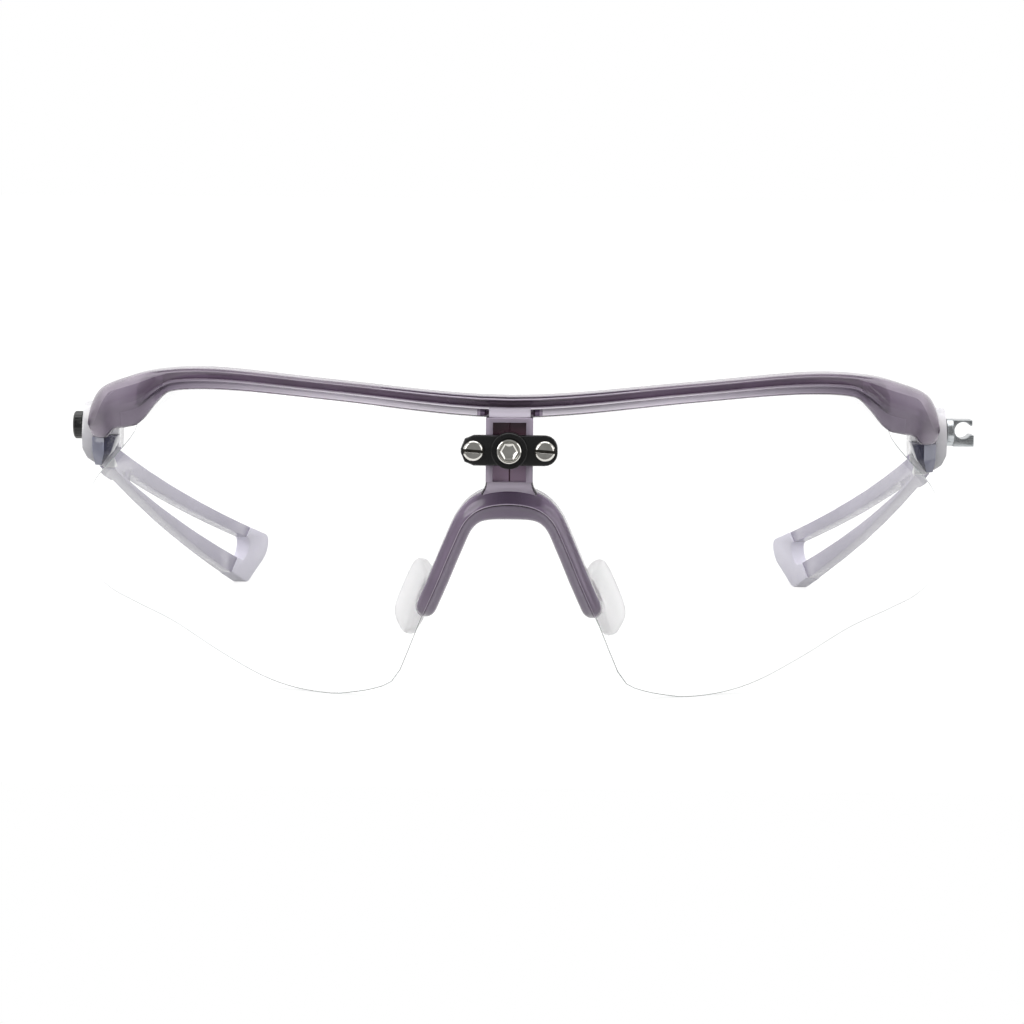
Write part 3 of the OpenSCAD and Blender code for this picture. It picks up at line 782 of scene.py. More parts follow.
@dataclass
class Brow:
    """The brow bar with its swept ends and hinge ears, in millimetres."""

    half: float = 73.8
    ball: float = 94.0
    depth: float = 5.0
    height: float = 3.4
    rise: float = 3.1
    end_drop: float = 7.2
    under_z: float = 48.0
    middle_z: float = 38.0
    tab_half: float = 2.95
    groove_front: float = 1.75
    groove_back: float = 3.9
    hinge_x: float = HINGE_X
    hinge_y: float = HINGE_Y
    ear_r: float = 2.3
    ear_low: float = 45.0
    ear_high: float = 47.3
    ear_reach: float = 6.5
    # Shares of the half width between which the end's profile and its crease come in.
    end_span: Point = (0.76, 0.9)
    crease_span: Point = (0.94, 1.02)
    crease_low: float = 0.97
    ridge_place: int = 8
    tab_fade: float = 1.3
    # The lens's groove: its least height, its play, the roof over it and its outer end.
    groove_least: float = 0.06
    groove_play: float = 0.05
    groove_roof: float = 0.8
    groove_end: float = 64.1
    # Where the walls change: distances from the mid-plane and past the tab, a share of the
    # half width, and a distance in front of the hinge.
    middle_x: float = 20.0
    tip_x: float = 67.0
    tab_rim: float = 0.4
    fillet: float = 2.8
    end_share: float = 0.8
    ear_zone: float = 7.0
    # Kinds of the front's walls by profile place, and of the tab's fillets by distance. Besides
    # the rib's depth, they paint light on the ridge, the tab and the lip, a highlight and a dark
    # groove over the middle, and shade in the creases, along the bottom edge and in the tab's
    # corners.
    bar_walls: Walls = (
        (8, ""), (11, "rib"), (12, ""), (14, "lip"), (16, "line"), (19, "lip"), (21, "rib"))
    middle_walls: Walls = ((3, "full"), (5, "rib"), (7, "pale"), *bar_walls)
    end_walls: Walls = ((8, ""), (11, "crease"), (16, "end"), (21, "lip"))
    tip_walls: Walls = ((8, ""), (21, "end"))
    fillet_walls: Walls = ((1.2, "rib"), (1.9, "full"), (math.inf, "pale"))
    tab_places: range = range(12, 21)
    fillet_places: range = range(16, 19)
    # Front profile from top to bottom: share of the height and depth behind the front.
    bar: tuple[Point, ...] = (
        (0.0, 0.9), (0.01, 0.5), (0.02, 0.3), (0.035, 0.22), (0.055, 0.5), (0.085, 0.5),
        (0.105, 0.1), (0.14, 0.0), (0.175, 0.12), (0.28, 0.42), (0.4, 0.75), (0.5, 0.95),
        (0.545, 0.7), (0.58, 0.3), (0.605, 0.22), (0.635, 0.75), (0.665, 1.15), (0.72, 1.12),
        (0.83, 0.8), (0.92, 0.25), (0.955, 0.15), (1.0, 0.6))
    tab: tuple[Point, ...] = (
        *bar[:12], (0.54, 0.8), (0.58, 0.62), (0.62, 0.52), (0.67, 0.46), (0.72, 0.4),
        (0.78, 0.32), (0.85, 0.22), (0.92, 0.12), (0.965, 0.08), (1.0, 0.2))
    end: tuple[Point, ...] = (
        (0.0, 2.4), (0.03, 1.7), (0.08, 1.1), (0.15, 0.6), (0.2, 0.38), (0.25, 0.22),
        (0.3, 0.1), (0.35, 0.03), (0.4, 0.0), (0.44, 0.03), (0.48, 0.14), (0.53, 0.34),
        (0.58, 0.56), (0.63, 0.8), (0.68, 1.02), (0.73, 1.22), (0.78, 1.42), (0.83, 1.6),
        (0.88, 1.78), (0.93, 1.95), (0.965, 2.1), (1.0, 2.5))

    def under_bar(self, lift: float) -> list[Point]:
        """Gives the control points of the bar's underside.

        Args:
            lift: Height that they are raised by.

        Returns:
            The points from the middle out to where the end widens.
        """
        h, z, r = self.half, self.under_z + lift, self.rise
        return [(0, z), (0.38 * h, z + 0.68 * r), (0.62 * h, z + r), (0.765 * h, z + 0.8 * r)]

    def top(self) -> list[Point]:
        """Gives the upper outline of one half, from the middle outwards.

        Returns:
            Points of the outline.
        """
        h, z, r, t = self.half, self.under_z, self.rise, self.height
        low = z - self.end_drop
        return half_curve([
            (0, z + t), (0.38 * h, z + t + 0.6 * r), (0.66 * h, z + t + r),
            (0.815 * h, z + t + 0.7 * r), (0.915 * h, z + t), (0.97 * h, z + 0.45 * t),
            (0.995 * h, low + 0.85 * self.end_drop), (h, low + 0.4 * self.end_drop)])

    def under(self) -> list[Point]:
        """Gives the lower outline of one half, from the middle outwards.

        Returns:
            Points of the outline.
        """
        h, d = self.half, self.end_drop
        low = self.under_z - d
        return half_curve(self.under_bar(0) + [
            (0.81 * h, low + 1.07 * d), (0.86 * h, low + 0.5 * d), (0.9 * h, low + 0.34 * d),
            (0.935 * h, low + 0.25 * d), (0.955 * h, low + 0.04 * d), (0.975 * h, low),
            (0.994 * h, low + 0.03 * d), (h, low + 0.15 * d)])

    def on_ball(self, x: float, z: float, deep: float) -> Vector:
        """Puts a point at a depth behind the spherical front.

        Args:
            x: Distance to the right.
            z: Height.
            deep: Depth behind the front of the brow.

        Returns:
            The point in the row frame.
        """
        r = self.ball - deep
        y = self.ball - math.sqrt(r * r - x * x - (z - self.middle_z) ** 2)
        return row(x, y, z)

    def section(
        self, x: float, top: Sequence[Point], under: Sequence[Point],
        lens_top: Sequence[Point],
    ) -> Ring:
        """Draws the section of the brow at one distance from the mid-plane.

        Args:
            x: Distance to the right.
            top: Upper outline.
            under: Lower outline.
            lens_top: Upper outline of the lens, for its groove.

        Returns:
            The ring of points.
        """
        away = abs(x)
        high, low = height_at(top, away), height_at(under, away)
        tall = high - low
        to_end = ease(*(share * self.half for share in self.end_span), away)
        to_tab = 1 - ease(self.tab_half, self.tab_half + self.tab_fade, away)
        ring = []
        # The crease under the ridge keeps its place in the profile and sinks at the ends.
        ridge = self.bar[self.ridge_place][0]
        sunk = ease(*(share * self.half for share in self.crease_span), away)
        crease = ridge + (self.crease_low - ridge) * sunk
        for bar, tab in zip(self.bar, self.tab):
            share = bar[0] + (tab[0] - bar[0]) * to_tab
            if share < ridge:
                share *= crease / ridge
            else:
                share = 1 - (1 - share) * (1 - crease) / (1 - ridge)
            deep = bar[1] + (tab[1] - bar[1]) * to_tab
            deep += (height_at(self.end, share) - deep) * to_end
            ring.append(self.on_ball(x, high - share * tall, deep))
        groove = low + self.groove_least
        if away < self.groove_end:
            groove = max(groove, min(
                height_at(lens_top, away) + self.groove_play, high - self.groove_roof))
        front = self.groove_front + 0.9 * to_end
        for z, deep in (
            (low, front), (groove, front), (groove, self.groove_back),
            (low, self.groove_back + 0.05), (low, self.depth - 0.25), (low + 0.25, self.depth),
            (low + 0.5 * tall, self.depth), (high - 0.3, self.depth), (high, self.depth - 0.3),
            (high, 0.65 * self.depth), (high, 2.0 + 0.7 * to_end),
        ):
            ring.append(self.on_ball(x, z, deep))
        return ring

    def wall(self, place: int, middle: Vector) -> str:
        """Tells what kind of wall is behind a face of the front.

        Args:
            place: Number of the profile point above the face.
            middle: Middle of the face.

        Returns:
            The kind, or nothing for a plain wall.
        """
        away, z = abs(middle.x) / MM, middle.z / MM - SEAT_Z
        on_ear = middle.y / MM > self.hinge_y + SEAT_Y - self.ear_zone and z < self.ear_high
        if place >= len(self.bar) - 1 or on_ear:
            return ""
        if away > self.end_share * self.half:
            # Light falls on the rounded outer band; below it the crease and the end's wall carry
            # painted shade that lifts towards the hinge, and the lip painted light.
            return chosen(self.end_walls if away < self.tip_x else self.tip_walls, place)
        # The tab carries painted light, and the fillets beside it painted shade that darkens
        # into the tab's corners.
        if away < self.tab_half + self.tab_rim and place in self.tab_places:
            return "tab"
        if away < self.tab_half + self.fillet and place in self.fillet_places:
            return chosen(self.fillet_walls, away - self.tab_half)
        return chosen(self.middle_walls if away < self.middle_x else self.bar_walls, place)

    def build(self, lens_top: Sequence[Point], finishes: Finishes) -> None:
        """Builds the ribbed bar and the two hinge ears.

        Args:
            lens_top: Upper outline of the lens.
            finishes: The finishes.
        """
        top, under = self.top(), self.under()
        # The sections lie close together round the tab, at the ends and at the ears.
        across = [0, 1.5, 2.6, 3, 3.35, 3.6, 3.85, 4.1, 4.4, 4.8, 5.3, 6.2, 7.5]
        across += [9 + 2 * i for i in range(24)]
        across += [56 + 0.75 * i for i in range(19)]
        across += [70 + 0.4 * i for i in range(8)] + [73.1, 73.4, 73.6, 73.75]
        places = [-x for x in reversed(across[1:])] + across
        bar = loft("brow_bar", [self.section(x, top, under, lens_top) for x in places])
        ears = []
        for side in (1, -1):
            turn = [math.radians(-10 + 200 * i / 16) for i in range(17)]
            plan = [(side * (self.hinge_x + self.ear_r * math.cos(a)),
                     self.hinge_y + self.ear_r * math.sin(a)) for a in turn]
            plan += [(side * (self.hinge_x + reach), self.hinge_y - self.ear_reach)
                     for reach in (-self.ear_r, self.ear_r - 0.5)]
            ears.append(loft(f"hinge_ear_{side}", [
                [row(x, y, z) for x, y in plan] for z in (self.ear_low, self.ear_high)]))
            round_edges(ears[-1], 0.3, steps=3)
        for piece in [bar, *ears]:
            shade(piece, angle=50)
        finished(join([bar, *ears]), Body.FRONT, finishes, "smoked_polyamide", "brow_frame")
        banded(bar, finishes, self.wall)


@dataclass
class Shield:
    """The clear one-piece lens, in millimetres."""

    brow: Brow
    ball: float = 92.0
    thick: float = 2.0
    soft: float = 0.18
    setback: float = 1.8
    over: float = 1.5
    lobe_x: float = 30.0
    groove: float = 2.2
    levels: int = 10
    arch: tuple[Point, ...] = (
        (0, 34.1), (4.32, 33.4), (7.16, 31.1), (9.32, 26.6), (11.61, 20.98), (13.5, 16.6))

    def top(self) -> list[Point]:
        """Gives the upper outline, from the middle out to the widest point.

        Returns:
            Points of the outline.
        """
        b, z, h = self.brow, self.brow.under_z, self.brow.half
        edge = h + self.over
        return half_curve(b.under_bar(self.groove) + [
            (0.835 * h, z + b.rise), (0.861 * h, z), (0.863 * h, z - 0.35 * b.end_drop),
            (0.878 * h, z - 0.75 * b.end_drop), (0.927 * h, 0.8 * z), (0.962 * edge, 0.71 * z),
            (0.985 * edge, 0.64 * z), (0.997 * edge, 0.52 * z), (edge, 0.43 * z)])

    def under(self) -> list[Point]:
        """Gives the lower outline, from the nose notch out to the widest point.

        Returns:
            Points of the outline.
        """
        z, edge, lobe = self.brow.under_z, self.brow.half + self.over, self.lobe_x
        tip = self.arch[-1][0]
        return half_curve(list(self.arch)) + smooth([
            (tip + 2.6, 0.21 * z), (tip + 4.2, 0.12 * z), (0.65 * lobe, 0.06 * z),
            (0.75 * lobe, 0.03 * z), (0.88 * lobe, 0.01 * z), (lobe, 0), (0.48 * edge, 0.01 * z),
            (0.56 * edge, 0.045 * z), (0.66 * edge, 0.12 * z), (0.77 * edge, 0.21 * z),
            (0.87 * edge, 0.26 * z), (0.94 * edge, 0.295 * z), (0.985 * edge, 0.35 * z),
            (edge, 0.425 * z)])

    def on_ball(self, x: float, z: float, deep: float) -> Vector:
        """Puts a point at a depth behind the lens's front.

        Args:
            x: Distance to the right.
            z: Height.
            deep: Depth behind the front of the lens.

        Returns:
            The point in the row frame.
        """
        r, middle = self.ball - deep, self.setback + self.ball
        y = middle - math.sqrt(r * r - x * x - (z - self.brow.middle_z) ** 2)
        return row(x, y, z)

    def build(self, finishes: Finishes) -> None:
        """Builds the lens as one bowed sheet with a softened, tinted rim.

        Args:
            finishes: The finishes.
        """
        top, under = self.top(), self.under()
        edge = self.brow.half + self.over
        # The sections lie close together past the brow's ends and at the rim.
        half = [1.5 * i for i in range(42)] + [62.6, 63.2, 63.5, 63.7, 64.0, 64.6]
        half += [65.4 + 0.8 * i for i in range(11)] + [73.9, 74.4, 74.8, 75.05, edge - 0.12]
        rings = []
        for x in [-x for x in reversed(half[1:])] + half:
            high, low = height_at(top, x), height_at(under, x)
            soft = min(self.soft, 0.3 * (high - low))
            rows = [low + soft + (high - low - 2 * soft) * k / (self.levels - 1)
                    for k in range(self.levels)]
            ring = [self.on_ball(x, z, 0) for z in rows]
            ring += [self.on_ball(x, high, soft), self.on_ball(x, high, self.thick - soft)]
            ring += [self.on_ball(x, z, self.thick) for z in reversed(rows)]
            ring += [self.on_ball(x, low, self.thick - soft), self.on_ball(x, low, soft)]
            rings.append(ring)
        lens = loft("shield_lens", rings)
        shade(lens, angle=30)
        finished(lens, Body.FRONT, finishes, "clear_polycarbonate", "lens")
        rim = finishes.add(lens, "polycarbonate_rim")
        places = lens.data.attributes["place"].data
        middle = row(0, self.setback + self.ball, self.brow.middle_z)
        normals = []
        for face in lens.data.polygons:
            marks = {places[i].value for i in face.vertices}
            first = min(marks)
            front = first < self.levels - 1
            rear = self.levels + 2 <= first < 2 * self.levels + 1
            if max(marks) - first != 1 or not (front or rear):
                face.material_index = rim
                normals += [Vector()] * len(face.vertices)
                continue
            # Both polished faces are true parts of a ball, so light passes them evenly.
            for i in face.vertices:
                out = (lens.data.vertices[i].co - middle).normalized()
                normals.append(out if front else -out)
        lens.data.normals_split_custom_set(normals)


@dataclass
class NoseBridge:
    """The arch, its legs, the guide column and the soft pads, in millimetres."""

    shield: Shield
    tip: Point = (13.5, 16.6)
    apex_z: float = 34.1
    band: float = 5.6
    leg: float = 3.4
    front: float = 3.0
    back: float = 3.0
    column_w: float = 7.6
    column_front: float = 0.8
    column_top: float = 48.1
    window_w: float = 5.4
    window_low: float = 37.7
    window_high: float = 47.4
    frame_back: float = 2.1
    floor_y: float = 1.54
    floor_step: float = 43.0
    seam: Point = (0.12, 0.14)
    pad_len: float = 12.0
    pad_d: float = 9.0
    pad_t: float = 2.8
    pad_flare: float = 25.0
    pad_gap: float = 0.757
    spigot_size: Triple = (1.2, 4.4, 4.2)
    # Walls with painted shade of their own: up the foot's sides, and from there up the rails'
    # outer sides.
    foot_side_top: float = 37.6
    rail_side_low: float = 38.5
    rail_side_x: float = 3.4
    # Section of the arch: share from the outer to the inner edge, and depth from the front.
    ridge: tuple[Point, ...] = (
        (0.0, 2.6), (0.02, 1.75), (0.08, 1.15), (0.2, 0.75), (0.36, 0.42), (0.47, 0.12),
        (0.5, 0.0), (0.54, 0.06), (0.6, 0.5), (0.72, 1.25), (0.86, 1.9), (0.95, 2.5),
        (1.0, 3.4), (1.0, 7.1), (0.9, 7.8), (0.5, 8.0), (0.1, 7.8), (0.0, 7.1))
    # Finishes across the arch: painted shade on the outer rim and the inner slope, a painted
    # highlight along the ridge and a painted dark line just inside it.
    arch_walls: Walls = (
        (2, "slope"), (5, ""), (6, "pale"), (7, "rib"), (12, "slope"), (math.inf, ""))
    # One half of its middle line: shares of the half width and of the drop from the apex.
    bow: tuple[Point, ...] = (
        (0, 0), (0.32, 0.04), (0.53, 0.17), (0.69, 0.43), (0.86, 0.75), (1, 1))
    # Rounded tip of a leg: share of the way past the end, and share of the full width.
    leg_tip: tuple[Point, ...] = (
        (0.99, 0.14), (0.94, 0.34), (0.85, 0.52), (0.72, 0.7), (0.5, 0.87), (0.25, 0.97))
    # The column's foot, which flares into the arch: height, half width and depth.
    foot: tuple[Triple, ...] = (
        (33.6, 5.0, 0.3), (34.5, 4.95, 0.2), (35.3, 4.8, 0.05), (35.9, 4.5, -0.1),
        (36.4, 4.15, -0.25), (36.9, 3.92, -0.45), (37.35, 3.82, -0.6), (37.72, 3.79, -0.75))

    def bow_points(self) -> list[Point]:
        """Gives the control points of one half of the arch, from the apex outwards."""
        drop = self.apex_z - self.tip[1]
        return [(a * self.tip[0], self.apex_z - b * drop) for a, b in self.bow]

    def middle_line(self) -> list[Point]:
        """Gives the arch's middle line, from the left leg's tip to the right one's."""
        half = half_curve(self.bow_points(), steps=8)
        return [(-x, z) for x, z in reversed(half[1:])] + half

    def build_arch(self) -> bpy.types.Object:
        """Lofts the ridged arch from one rounded leg tip over the apex to the other.

        Returns:
            The arch.
        """
        line = self.middle_line()
        last = len(line) - 1
        stations = [(float(i), 1.0) for i in range(last + 1)]
        stations += [(last + reach, wide) for reach, wide in self.leg_tip]
        stations += [(-reach, wide) for reach, wide in self.leg_tip]
        rings = []
        for place, wide in sorted(stations):
            i = int(min(max(place, 0), last))
            a, b = line[max(0, i - 1)], line[min(last, i + 1)]
            run = math.hypot(b[0] - a[0], b[1] - a[1])
            along = ((b[0] - a[0]) / run, (b[1] - a[1]) / run)
            out = (-along[1], along[0])
            share = abs(2 * min(max(place, 0), last) / last - 1)
            width = self.band + (self.leg - self.band) * ease(0, 0.5, share)
            past = place if place < 0 else max(0.0, place - last)
            mid = (line[i][0] + along[0] * past * 0.6 * self.leg,
                   line[i][1] + along[1] * past * 0.6 * self.leg)
            ring = []
            for u, deep in self.ridge:
                reach = (0.5 - u) * width * wide
                soft = deep + (1 - wide) * (3.2 - 0.8 * deep) if deep < 4 else deep
                ring.append(self.shield.on_ball(
                    mid[0] + out[0] * reach, mid[1] + out[1] * reach, soft - self.front))
            rings.append(ring)
        return loft("nose_arch", rings)

    def build_column(self) -> bpy.types.Object:
        """Builds the guide column: rails round a window, and a foot that flares.

        Returns:
            The column.
        """
        tall = self.column_top - self.window_low
        column = start("column", bpy.ops.mesh.primitive_plane_add, size=1.0)
        column.data.transform(Matrix.Translation(
            row(0, -self.column_front, self.window_low + tall / 2))
            @ Matrix.Rotation(math.radians(90), 4, "X")
            @ Matrix.Diagonal((self.column_w * MM, tall * MM, 1.0, 1.0)))
        bpy.ops.object.mode_set(mode="EDIT")
        bpy.ops.mesh.select_all(action="SELECT")
        bpy.ops.mesh.inset(thickness=(self.column_w - self.window_w) / 2 * MM, depth=0)
        bpy.ops.mesh.delete(type="ONLY_FACE")
        shape = bmesh.from_edit_mesh(column.data)
        inner = self.window_w / 2 * MM + 1e-6
        # The inset is as wide all round, so the window's two short edges are moved.
        for v in shape.verts:
            if abs(v.co.x) < inner:
                high = v.co.z > row(0, 0, self.window_low + tall / 2).z
                v.co.z = row(0, 0, self.window_high if high else self.window_low + 0.05).z
        bmesh.update_edit_mesh(column.data)
        bpy.ops.mesh.select_all(action="SELECT")
        bpy.ops.mesh.extrude_region_move(TRANSFORM_OT_translate={
            "value": (0, (self.column_front + self.frame_back) * MM, 0)})
        bpy.ops.mesh.select_all(action="SELECT")
        bpy.ops.mesh.normals_make_consistent(inside=False)
        bpy.ops.object.mode_set(mode="OBJECT")
        round_edges(column, 0.22, steps=3)
        shade(column)
        foot_rings = []
        for z, wide, deep in self.foot:
            # The corners grow rounder towards the arch.
            soft = 0.25 + 0.12 * max(0.0, 37.0 - z)
            foot_rings.append([row(x, y, z) for x, y in (
                (-wide + soft, deep), (-2.0, deep), (2.0, deep), (wide - soft, deep),
                (wide, deep + soft), (wide, 2.6), (-wide, 2.6), (-wide, deep + soft))])
        foot = loft("column_foot", foot_rings)
        shade(foot, angle=50)
        return join([column, foot])

    def build_floor(self) -> bpy.types.Object:
        """Builds the dark floor of the column's recess with its middle seam.

        Returns:
            The floor.
        """
        half = self.column_w / 2 - 0.6
        front, back = self.floor_y, self.floor_y + 0.2
        seam, deep = self.seam
        rings = []
        for z in (self.window_low - 0.3, self.floor_step, self.window_high + 0.3):
            rings.append([row(x, y, z) for x, y in (
                (-half, front), (-seam, front), (0, front + deep), (seam, front),
                (half, front), (half, back), (-half, back))])
        return loft("recess_floor", rings)

    def pad_place(self) -> Matrix:
        """Gives the right pad's own frame: Z along the leg and Y to the back.

        Returns:
            Place and turn of the frame.
        """
        leg = self.bow_points()[-3:]
        along = (leg[2][0] - leg[0][0], leg[2][1] - leg[0][1])
        pad_z, pad_x = self.tip[1] - 1.6, self.tip[0] + 0.6
        back_r = self.shield.ball - self.shield.thick - self.back
        drop = self.shield.brow.middle_z - pad_z
        pad_y = self.shield.setback + self.shield.ball - math.sqrt(
            back_r**2 - pad_x**2 - drop**2)
        lean = -math.atan(abs(along[0] / along[1]))
        return (Matrix.Translation(row(pad_x, pad_y, pad_z))
                @ Matrix.Rotation(lean, 4, "Y")
                @ Matrix.Rotation(math.asin(drop / back_r), 4, "X")
                @ Matrix.Rotation(math.radians(-self.pad_flare), 4, "Z"))

    def build_pad(self) -> bpy.types.Object:
        """Builds the right pad as a soft rounded pillow.

        Returns:
            The pad.
        """
        size = (self.pad_t, self.pad_d, self.pad_len)
        middle = Vector((0, (self.pad_gap + self.pad_d / 2) * MM, 0))
        pad = raw_box("nose_pad_right_soft", Matrix.Translation(middle), size)
        bpy.ops.object.mode_set(mode="EDIT")
        bpy.ops.mesh.select_all(action="SELECT")
        bpy.ops.mesh.subdivide(number_cuts=1)
        bpy.ops.object.mode_set(mode="OBJECT")
        apply_modifier(pad, "SUBSURF", {"levels": 3, "render_levels": 3})
        # The subdivision draws the shape in, so it is brought back to its size.
        low = [min(v.co[k] for v in pad.data.vertices) for k in range(3)]
        high = [max(v.co[k] for v in pad.data.vertices) for k in range(3)]
        middle = Vector([(low[k] + high[k]) / 2 for k in range(3)])
        grow = [size[k] * MM / (high[k] - low[k]) for k in range(3)]
        pad.data.transform(Matrix.Translation(middle) @ Matrix.Diagonal((*grow, 1.0))
                           @ Matrix.Translation(-middle))
        pad.data.transform(self.pad_place())
        shade(pad, angle=60)
        return pad

    def build_spigot(self) -> bpy.types.Object:
        """Builds the flat spigot that the right pad is pushed on.

        Returns:
            The spigot.
        """
        middle = Matrix.Translation(Vector((0, 0.6 * MM, 2.7 * MM)))
        spigot = raw_box("spigot", self.pad_place() @ middle, self.spigot_size)
        round_edges(spigot, 0.25)
        return spigot

    def build(self, finishes: Finishes) -> None:
        """Builds and dresses the whole nose bridge and its pads.

        Args:
            finishes: The finishes.
        """
        arch = self.build_arch()
        shade(arch, angle=60)
        spigot = self.build_spigot()
        other = mirrored(spigot, "spigot_left")
        finished(arch, Body.FRONT, finishes, "smoked_polyamide_full", "nose_bridge")
        banded(arch, finishes, lambda place, _: chosen(self.arch_walls, place))
        column = self.build_column()
        finished(column, Body.FRONT, finishes, "smoked_polyamide_pale", "nose_bridge")
        foot_top, rail_low = (
            row(0, 0, z).z for z in (self.foot_side_top, self.rail_side_low))
        # Painted shade on the foot's sides and the rails' outer sides.
        mark(column, finishes, "smoked_polyamide_rib", lambda face: (
            abs(face.normal.x) > 0.4 and face.center.z < foot_top))
        mark(column, finishes, "smoked_polyamide_full", lambda face: (
            abs(face.normal.x) > 0.5 and face.center.z > rail_low
            and abs(face.center.x) > self.rail_side_x * MM))
        spigots = join([spigot, other])
        finished(spigots, Body.FRONT, finishes, "smoked_polyamide", "nose_bridge")
        floor = self.build_floor()
        shade(floor)
        # The recess floor is a sheet with painted shade of the recess.
        finished(floor, Body.FRONT, finishes, "smoked_polyamide_deep")
        step = row(0, 0, self.floor_step).z
        # Painted light on the lower part of the floor, which faces front and back.
        mark(floor, finishes, "smoked_polyamide_floor", lambda face: (
            face.center.z < step and abs(face.normal.y) > 0.9))
        pad = self.build_pad()
        twin = mirrored(pad, "nose_pad_left_soft")
        finished(pad, Body.FRONT, finishes, "milky_silicone", "nose_pad_right")
        finished(twin, Body.FRONT, finishes, "milky_silicone", "nose_pad_left")


@dataclass
class Mount:
    """The sliding accessory mount on the column, in millimetres."""

    middle_z: float = 43.0
    front: float = -2.7
    back: float = -0.9
    wide: float = 15.6
    tall: float = 4.9
    corner: float = 2.1
    boss_r: float = 2.9
    boss_front: float = -3.3
    head_r: float = 2.0
    head_front: float = -4.2
    seat: float = -2.6
    hex_w: float = 2.25
    spacing: float = 11.5
    slot_r: float = 1.65
    slot_front: float = -3.6
    slot_w: float = 0.5
    slot_deep: float = 0.65
    slot_tilt: float = 4.0
    tongue_y: float = -0.4
    tongue_size: Triple = (5.2, 1.2, 3.8)
    nut_y: float = 0.9
    nut_size: Triple = (6.2, 1.2, 3.8)

    def outline(self, inset: float) -> list[Point]:
        """Draws the plate's outline, round at the right and chamfered at the left.

        Args:
            inset: Distance in from the full outline.

        Returns:
            Points as distance to the right and height above the middle.
        """
        w, h, r = self.wide / 2 - inset, self.tall / 2 - inset, self.corner - inset * 0.6
        points: list[Point] = []
        for turn, cx, cz in ((-90, w - r, -h + r), (0, w - r, h - r),
                             (90, -w + r, h - r), (180, -w + r, -h + r)):
            for i in range(0, 7, 1 if cx > 0 else 3):
                a = math.radians(turn + 15 * i)
                points.append((cx + r * math.cos(a), cz + r * math.sin(a)))
        return points

    def place(self, x: float, along: float, across: float, up: float) -> Vector:
        """Gives a point about an axis that runs back at a distance from the middle."""
        return row(x + across, along, self.middle_z + up)

    def build_plate(self) -> bpy.types.Object:
        """Builds the plate with its chamfered front, its boss and guide tongue.

        Returns:
            The plate.
        """
        steps = ((self.back, 0.25), (self.back - 0.25, 0.0), (self.front + 0.35, 0.0),
                 (self.front + 0.1, 0.1), (self.front, 0.38))
        plate = loft("bracket", [
            [row(x, y, self.middle_z + z) for x, z in self.outline(inset)]
            for y, inset in steps])
        boss = turned("boss", (
            (self.boss_r, self.back), (self.boss_r, self.boss_front + 0.08),
            (self.boss_r - 0.08, self.boss_front), (self.head_r + 0.12, self.boss_front),
            (self.head_r + 0.1, self.seat)), lambda a, c, u: self.place(0, a, c, u))
        tongue = raw_box("tongue", Matrix.Translation(row(0, self.tongue_y, self.middle_z)),
                         self.tongue_size)
        round_edges(tongue, 0.2)
        for piece in (plate, boss, tongue):
            shade(piece)
        return join([plate, boss, tongue])

    def build_socket_screw(self) -> bpy.types.Object:
        """Builds the cap screw: rounded rim, sunk ring and hexagonal socket.

        Returns:
            The screw.
        """
        r, front, half = self.head_r, self.head_front, self.hex_w / 2
        count = 72
        rings = []
        # Radius, distance along the axis, and whether the section is a hexagon.
        for radius, along, sides in (
            (1.0, 1.5, False), (1.0, self.seat, False), (r, self.seat, False),
            (r, front + 0.22, False), (r - 0.06, front + 0.08, False), (r - 0.2, front, False),
            (r - 0.36, front + 0.02, False), (r - 0.44, front + 0.14, False),
            (half * 1.34, front + 0.16, False), (half * 1.28, front + 0.03, False),
            (half * 1.1, front + 0.03, True), (half * 0.92, front + 0.16, True),
            (half * 0.9, front + 0.75, True), (0.25 * half, front + 1.0, False),
        ):
            ring = []
            for i in range(count):
                a = 2 * math.pi * i / count
                flat = (a + math.radians(30)) % math.radians(60) - math.radians(30)
                wide = radius / math.cos(flat) if sides else radius
                ring.append(self.place(0, along, wide * math.sin(a), wide * math.cos(a)))
            rings.append(ring)
        screw = loft("socket_screw", rings)
        shade(screw, angle=30)
        return screw

    def build_slotted_screw(self) -> bpy.types.Object:
        """Builds the right slotted screw: domed rim, flat face and a milled slot.

        Returns:
            The screw.
        """
        r, front, x = self.slot_r, self.slot_front, self.spacing / 2
        screw = turned("slotted_screw_right", (
            (0.8, self.back), (0.8, self.front), (r, self.front), (r, front + 0.36),
            (r - 0.09, front + 0.2), (r - 0.24, front + 0.07), (r - 0.42, front),
            (0.6 * r, front - 0.03), (0.3 * r, front - 0.045), (0.04, front - 0.05),
        ), lambda a, c, u: self.place(x, a, c, u), count=64)
        slot = raw_box(
            "slot", Matrix.Translation(row(x, front, self.middle_z))
            @ Matrix.Rotation(math.radians(self.slot_tilt), 4, "Y"),
            (6, 2 * self.slot_deep, self.slot_w))
        cut(screw, slot)
        round_edges(screw, 0.03, steps=1, angle=60)
        shade(screw, angle=30)
        return screw

    def build_nut(self) -> bpy.types.Object:
        """Builds the nut plate behind the column with softened edges.

        Returns:
            The plate.
        """
        nut = raw_box("nut_plate", Matrix.Translation(row(0, self.nut_y, self.middle_z)),
                      self.nut_size)
        round_edges(nut, 0.15)
        shade(nut)
        return nut

